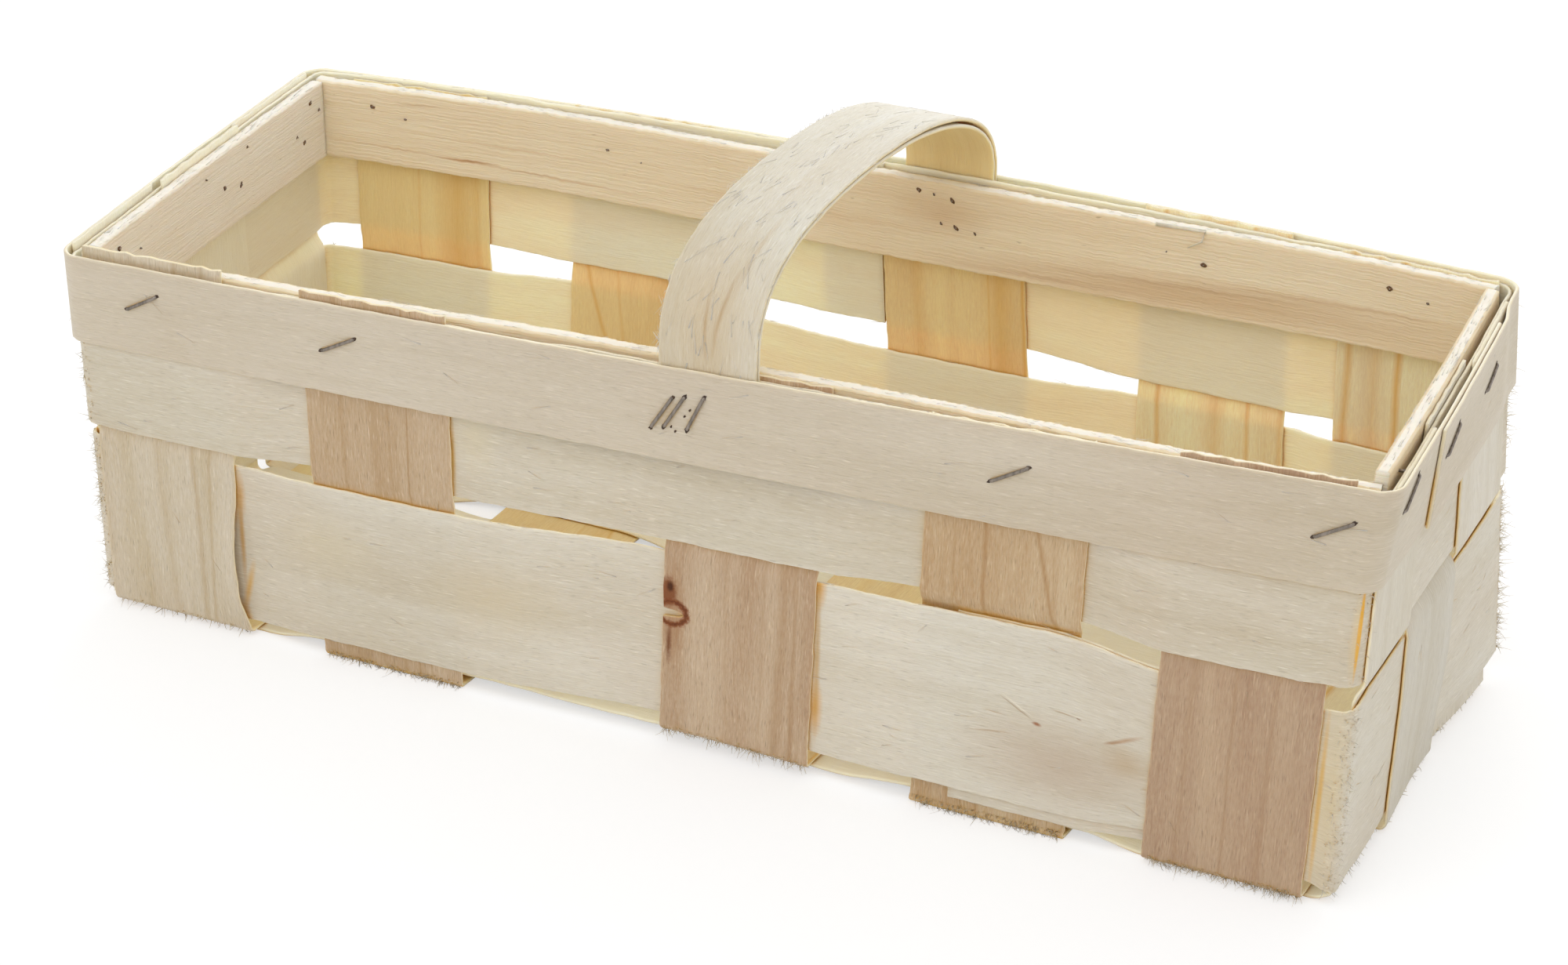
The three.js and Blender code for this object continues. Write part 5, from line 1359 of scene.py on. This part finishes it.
def frame_on(node, a, c, lift):
    """On a strip's outer face: the point, and unit vectors out of it, along it and across it."""
    place, half = SURFACES[node][0], SURFACES[node][4]
    at = place(a, c, half + lift)
    out, along = (v / np.maximum(np.linalg.norm(v, axis=-1, keepdims=True), 1e-9)
                  for v in (place(a, c, half + lift + 0.5) - at, place(a + 0.5, c, half + lift) - at))
    return at, out, along, np.cross(out, along)


def hairs(at, way, length):
    """Paths of straight hairs: from a point, a length along a way."""
    return at[:, None, :] + way[:, None, :] * length[:, None, None] * HAIR[:, None]


def flakes(rng, node, count):
    """Slivers torn half loose: they follow the face along the grain and lift off it with the square of the way."""
    place, start, stop, width, half = SURFACES[node]
    a = rng.uniform(start + 8, stop - 8, count)
    c = rng.uniform(0.04, 0.96, count)
    run = rng.uniform(2.0, 7.0, count) * rng.choice([-1, 1], count)
    drift = rng.normal(0, 0.35, count) / width
    lift = rng.uniform(0.05, 0.4, count)
    t = np.array([[0, 0.25, 0.75, 1]])
    n = half + 0.03 + lift[:, None] * t ** 2
    paths = place(a[:, None] + run[:, None] * t, c[:, None] + drift[:, None] * run[:, None] * t, n)
    out = place(a, c, half + 1.0) - place(a, c, half)
    return paths, out, rng.uniform(0.16, 0.34, count)


def fuzz(rng, node, a, c, reach, lean=0.0):
    """Broken fibre ends that stand off a fold: out of the face, leaning across it, and bent in a random direction
    with the square of the way."""
    count = len(a)
    at, out, along, across = frame_on(node, a, c, -0.1)
    length = reach * rng.uniform(0.25, 1.0, count) ** 1.6
    way = out + along * rng.normal(0, 0.5, count)[:, None]
    way = way + across * (lean + rng.normal(0, 0.5, count))[:, None]
    way /= np.linalg.norm(way, axis=1, keepdims=True)
    bend = rng.normal(0, 0.3, (count, 3))
    paths = hairs(at, way, length) + bend[:, None, :] * length[:, None, None] * HAIR[:, None] ** 2
    return paths, across, rng.uniform(0.26, 0.46, count)


class BASKET_OT_fibres(bpy.types.Operator):
    """Fuzz of broken fibres at folds and corners, hairs at edges, and slivers torn half loose from the faces"""
    bl_idname = "basket.fibres"
    bl_label = "Torn fibres"

    def execute(self, context):
        sizes, colours = settings()
        reach = sizes.fuzz * 1000
        rng = np.random.default_rng(7)
        pale = torn_fibre("torn_poplar_fibre", colours.weaver_pale)
        tan = torn_fibre("torn_pine_fibre", linear(STAVE_FIBRE))
        grey = torn_fibre("torn_corner_fibre", linear(CORNER_FIBRE))
        upright = np.array([0, 0, 1.0])
        groups = []
        for stave, count in zip(CROSS, (90, 420, 280, 460, 480)):
            for wall, share in ((-1, 1.0), (1, 0.6)):
                number = int(count * share)
                a = wall * (CROSS_REACH - FOOT_RADIUS + rng.uniform(-0.3, 2.6, number))
                groups.append(fuzz(rng, stave["name"], a, rng.uniform(0.02, 0.98, number), 0.75 * reach, 0.25))
            groups.append(flakes(rng, stave["name"], 26))
        fibres("stave_fibres", groups, tan)

        groups, corners = [], []
        for node, counts in (("lower_weaver", (260, 200, 420, 200)), ("upper_weaver", (150, 60, 160, 120))):
            start, stop = SURFACES[node][1:3]
            for corner, number in zip(("FL", "FR", "BR", "BL"), counts):
                s = ON_CORNER[corner] + (np.floor((start - ON_CORNER[corner]) / PERIMETER) + 1) * PERIMETER
                a = s + rng.uniform(-0.5, 0.5, number) * ARC * 1.1
                longest = (0.9 if corner == "BR" else 0.62) * reach
                corners.append(fuzz(rng, node, a, rng.uniform(0.0, 1.0, number), longest, -0.1))
            groups.append(flakes(rng, node, 150))
            # hairs torn from both edges
            a, edge = rng.uniform(start, stop, 260), rng.choice([0.0, 1.0], 260)
            at, out, along, across = frame_on(node, a, edge, -0.4)
            length = rng.uniform(1.0, 5.0, 260)
            rise = (0.16 * rng.uniform(0, 1, 260) * np.where(edge > 0.5, 1, -1))[:, None]
            way = along * rng.choice([-1, 1], 260)[:, None] + upright * rise
            groups.append((hairs(at, way, length), out, rng.uniform(0.12, 0.26, 260)))
        for node, count in (("rim_band", 40), ("handle_outer_ply", 150)):
            groups.append(flakes(rng, node, count))
        # hairs torn from the edges of the handle, most of them from its left edge
        edge = rng.choice([0.0, 1.0], 170, p=[0.75, 0.25])
        at, out, along, across = frame_on("handle_outer_ply", rng.uniform(30, 150, 170), edge, -0.3)
        splay = rng.uniform(0.1, 0.7, 170) * np.where(edge > 0.5, -1, 1)
        way = along * rng.choice([-1, 1], 170)[:, None] + across * splay[:, None] + out * 0.2
        groups.append((hairs(at, way, rng.uniform(0.8, 3.4, 170)), out, rng.uniform(0.14, 0.26, 170)))
        for stave in LONG:
            for wall in (-1, 1):
                a = wall * (LONG_REACH - FOOT_RADIUS + rng.uniform(-0.3, 2.6, 40))
                groups.append(fuzz(rng, stave["name"], a, rng.uniform(0.02, 0.98, 40), 0.5 * reach))
            groups.append(flakes(rng, stave["name"], 24))
        # splinters that lift off the split top edges of the slats
        for wall, count in (("front", 220), ("back", 200), ("left", 90), ("right", 110)):
            place, start, stop, _, half = SURFACES[wall + "_rim_slat"]
            a = rng.uniform(start + 4, stop - 4, count)
            n = rng.uniform(-half, half, count)
            run = rng.uniform(1.5, 6.0, count) * rng.choice([-1, 1], count)
            lift = rng.uniform(0.1, 0.9, count)
            paths = place(a[:, None] + run[:, None] * HAIR, 0.998 + 0 * HAIR[None, :], n[:, None] + 0 * HAIR)
            paths = paths + upright * (lift[:, None, None] * HAIR[:, None] ** 2)
            groups.append((paths, np.tile(upright, (count, 1)), rng.uniform(0.14, 0.3, count)))
            if wall == "back":
                # a splinter torn off the top edge, which folds back and hangs in front of the slat
                a = ON_WALL["back"](np.array([[90.0, 105.6, 104.6, 100.2]]))
                splinter = place(a, np.array([[0.99, 1.015, 0.9, 0.79]]), np.array([[-2.0, -2.3, -3.4, -2.8]]))
                groups.append((splinter, np.array([[0.0, 1.0, 0.0]]), np.array([1.5])))
        fibres("weaver_fibres", groups, pale)
        fibres("corner_fibres", corners, grey)
        return {"FINISHED"}


class BASKET_OT_stage(bpy.types.Operator):
    """Plain pale floor, soft light and the camera"""
    bl_idname = "basket.stage"
    bl_label = "Stage"

    def execute(self, context):
        scene, colours = context.scene, settings()[1]
        # the floor takes shadows and throws light back as its own colour, and is seen as nearly white
        material, add = new_material("pale_floor")
        path = add("LightPath").node.outputs
        seen = add("Math", {0: path["Is Glossy Ray"], 1: path["Is Transmission Ray"]}, operation="MAXIMUM")
        seen = add("Math", {0: path["Is Camera Ray"], 1: seen}, operation="MAXIMUM")
        shaded = add("BsdfDiffuse", {"Color": colours.floor})
        dimmed = add("BsdfDiffuse", {"Color": (0.5, 0.5, 0.5)})
        white = add("Emission", {"Color": (1, 1, 1), "Strength": 0.55})
        bright = add("AddShader", {0: dimmed, 1: white})
        mix = add("MixShader", {0: seen, 1: shaded, 2: bright})
        add("OutputMaterial", {"Surface": mix})
        floor = bpy.data.meshes.new("floor")
        corners = np.array([(-1, -1, 0), (1, -1, 0), (1, 1, 0), (-1, 1, 0)]) * FLOOR_SIDE / 2
        floor.from_pydata(corners.tolist(), [], [(0, 1, 2, 3)])
        floor.materials.append(material)
        floor_piece = bpy.data.objects.new("floor", floor)
        scene.collection.objects.link(floor_piece)

        world = bpy.data.worlds.new("soft_light")
        add = empty_nodes(world)
        seen = add("LightPath", out="Is Camera Ray")
        strength = add("MapRange", {0: seen, 3: 0.84, 4: 1.0})
        sky = add("Background", {"Color": (1.0, 1.0, 1.0), "Strength": strength})
        add("OutputWorld", {"Surface": sky})
        scene.world = world

        for name, place, side, power in LAMPS:
            lamp = bpy.data.lights.new(name, "AREA")
            lamp.shape, lamp.size, lamp.energy = "SQUARE", side, power
            holder = bpy.data.objects.new(name, lamp)
            holder.location = place
            holder.rotation_mode = "QUATERNION"
            holder.rotation_quaternion = (Vector(LIT_SPOT) - Vector(place)).to_track_quat("-Z", "Y")
            scene.collection.objects.link(holder)

        azimuth, elevation, roll = (math.radians(v) for v in (AZIMUTH, ELEVATION, ROLL))
        back = Vector((math.sin(azimuth) * math.cos(elevation), -math.cos(azimuth) * math.cos(elevation),
                       math.sin(elevation)))
        right = Vector((math.cos(azimuth), math.sin(azimuth), 0))
        up = back.cross(right)
        right, up = (right * math.cos(roll) + up * math.sin(roll), up * math.cos(roll) - right * math.sin(roll))
        lens = bpy.data.cameras.new("camera")
        lens.sensor_fit = "HORIZONTAL"
        lens.sensor_width, lens.lens = SENSOR, SENSOR * FOCAL
        lens.clip_start, lens.clip_end = 0.05, 20.0
        camera = bpy.data.objects.new("camera", lens)
        turn = Matrix((right, up, back)).transposed().to_4x4()
        camera.matrix_world = Matrix.Translation(Vector(TARGET) + back * DISTANCE) @ turn
        scene.collection.objects.link(camera)
        scene.camera = camera
        scene.view_settings.view_transform = "Standard"
        return {"FINISHED"}


class BASKET_PT_panel(bpy.types.Panel):
    """Lists the basket's pieces, sizes and colours"""
    bl_idname = "BASKET_PT_panel"
    bl_label = "Fruit basket"
    bl_space_type = "VIEW_3D"
    bl_region_type = "UI"
    bl_category = "Basket"

    def draw(self, context):
        for group in settings():
            box = self.layout.box()
            for key in group.bl_rna.properties.keys():
                if key not in ("rna_type", "name"):
                    box.prop(group, key)
        for operator in OPERATORS:
            self.layout.operator(operator.bl_idname)


OPERATORS = (BASKET_OT_weavers, BASKET_OT_cross_staves, BASKET_OT_long_staves, BASKET_OT_rim,
             BASKET_OT_handle, BASKET_OT_staples, BASKET_OT_fibres, BASKET_OT_stage)
CLASSES = (BasketSizes, BasketColours, *OPERATORS, BASKET_PT_panel)


def register():
    """Registers the classes and hangs the two property groups on the scene."""
    for cls in CLASSES:
        bpy.utils.register_class(cls)
    bpy.types.Scene.basket_sizes = bpy.props.PointerProperty(type=BasketSizes)
    bpy.types.Scene.basket_colours = bpy.props.PointerProperty(type=BasketColours)


def unregister():
    """Takes back what register() did, last first."""
    del bpy.types.Scene.basket_colours
    del bpy.types.Scene.basket_sizes
    for cls in reversed(CLASSES):
        bpy.utils.unregister_class(cls)


def main():
    """Runs every operator in turn."""
    register()
    for operator in OPERATORS:
        group, name = operator.bl_idname.split(".")
        getattr(getattr(bpy.ops, group), name)()


if __name__ == "__main__":
    main()
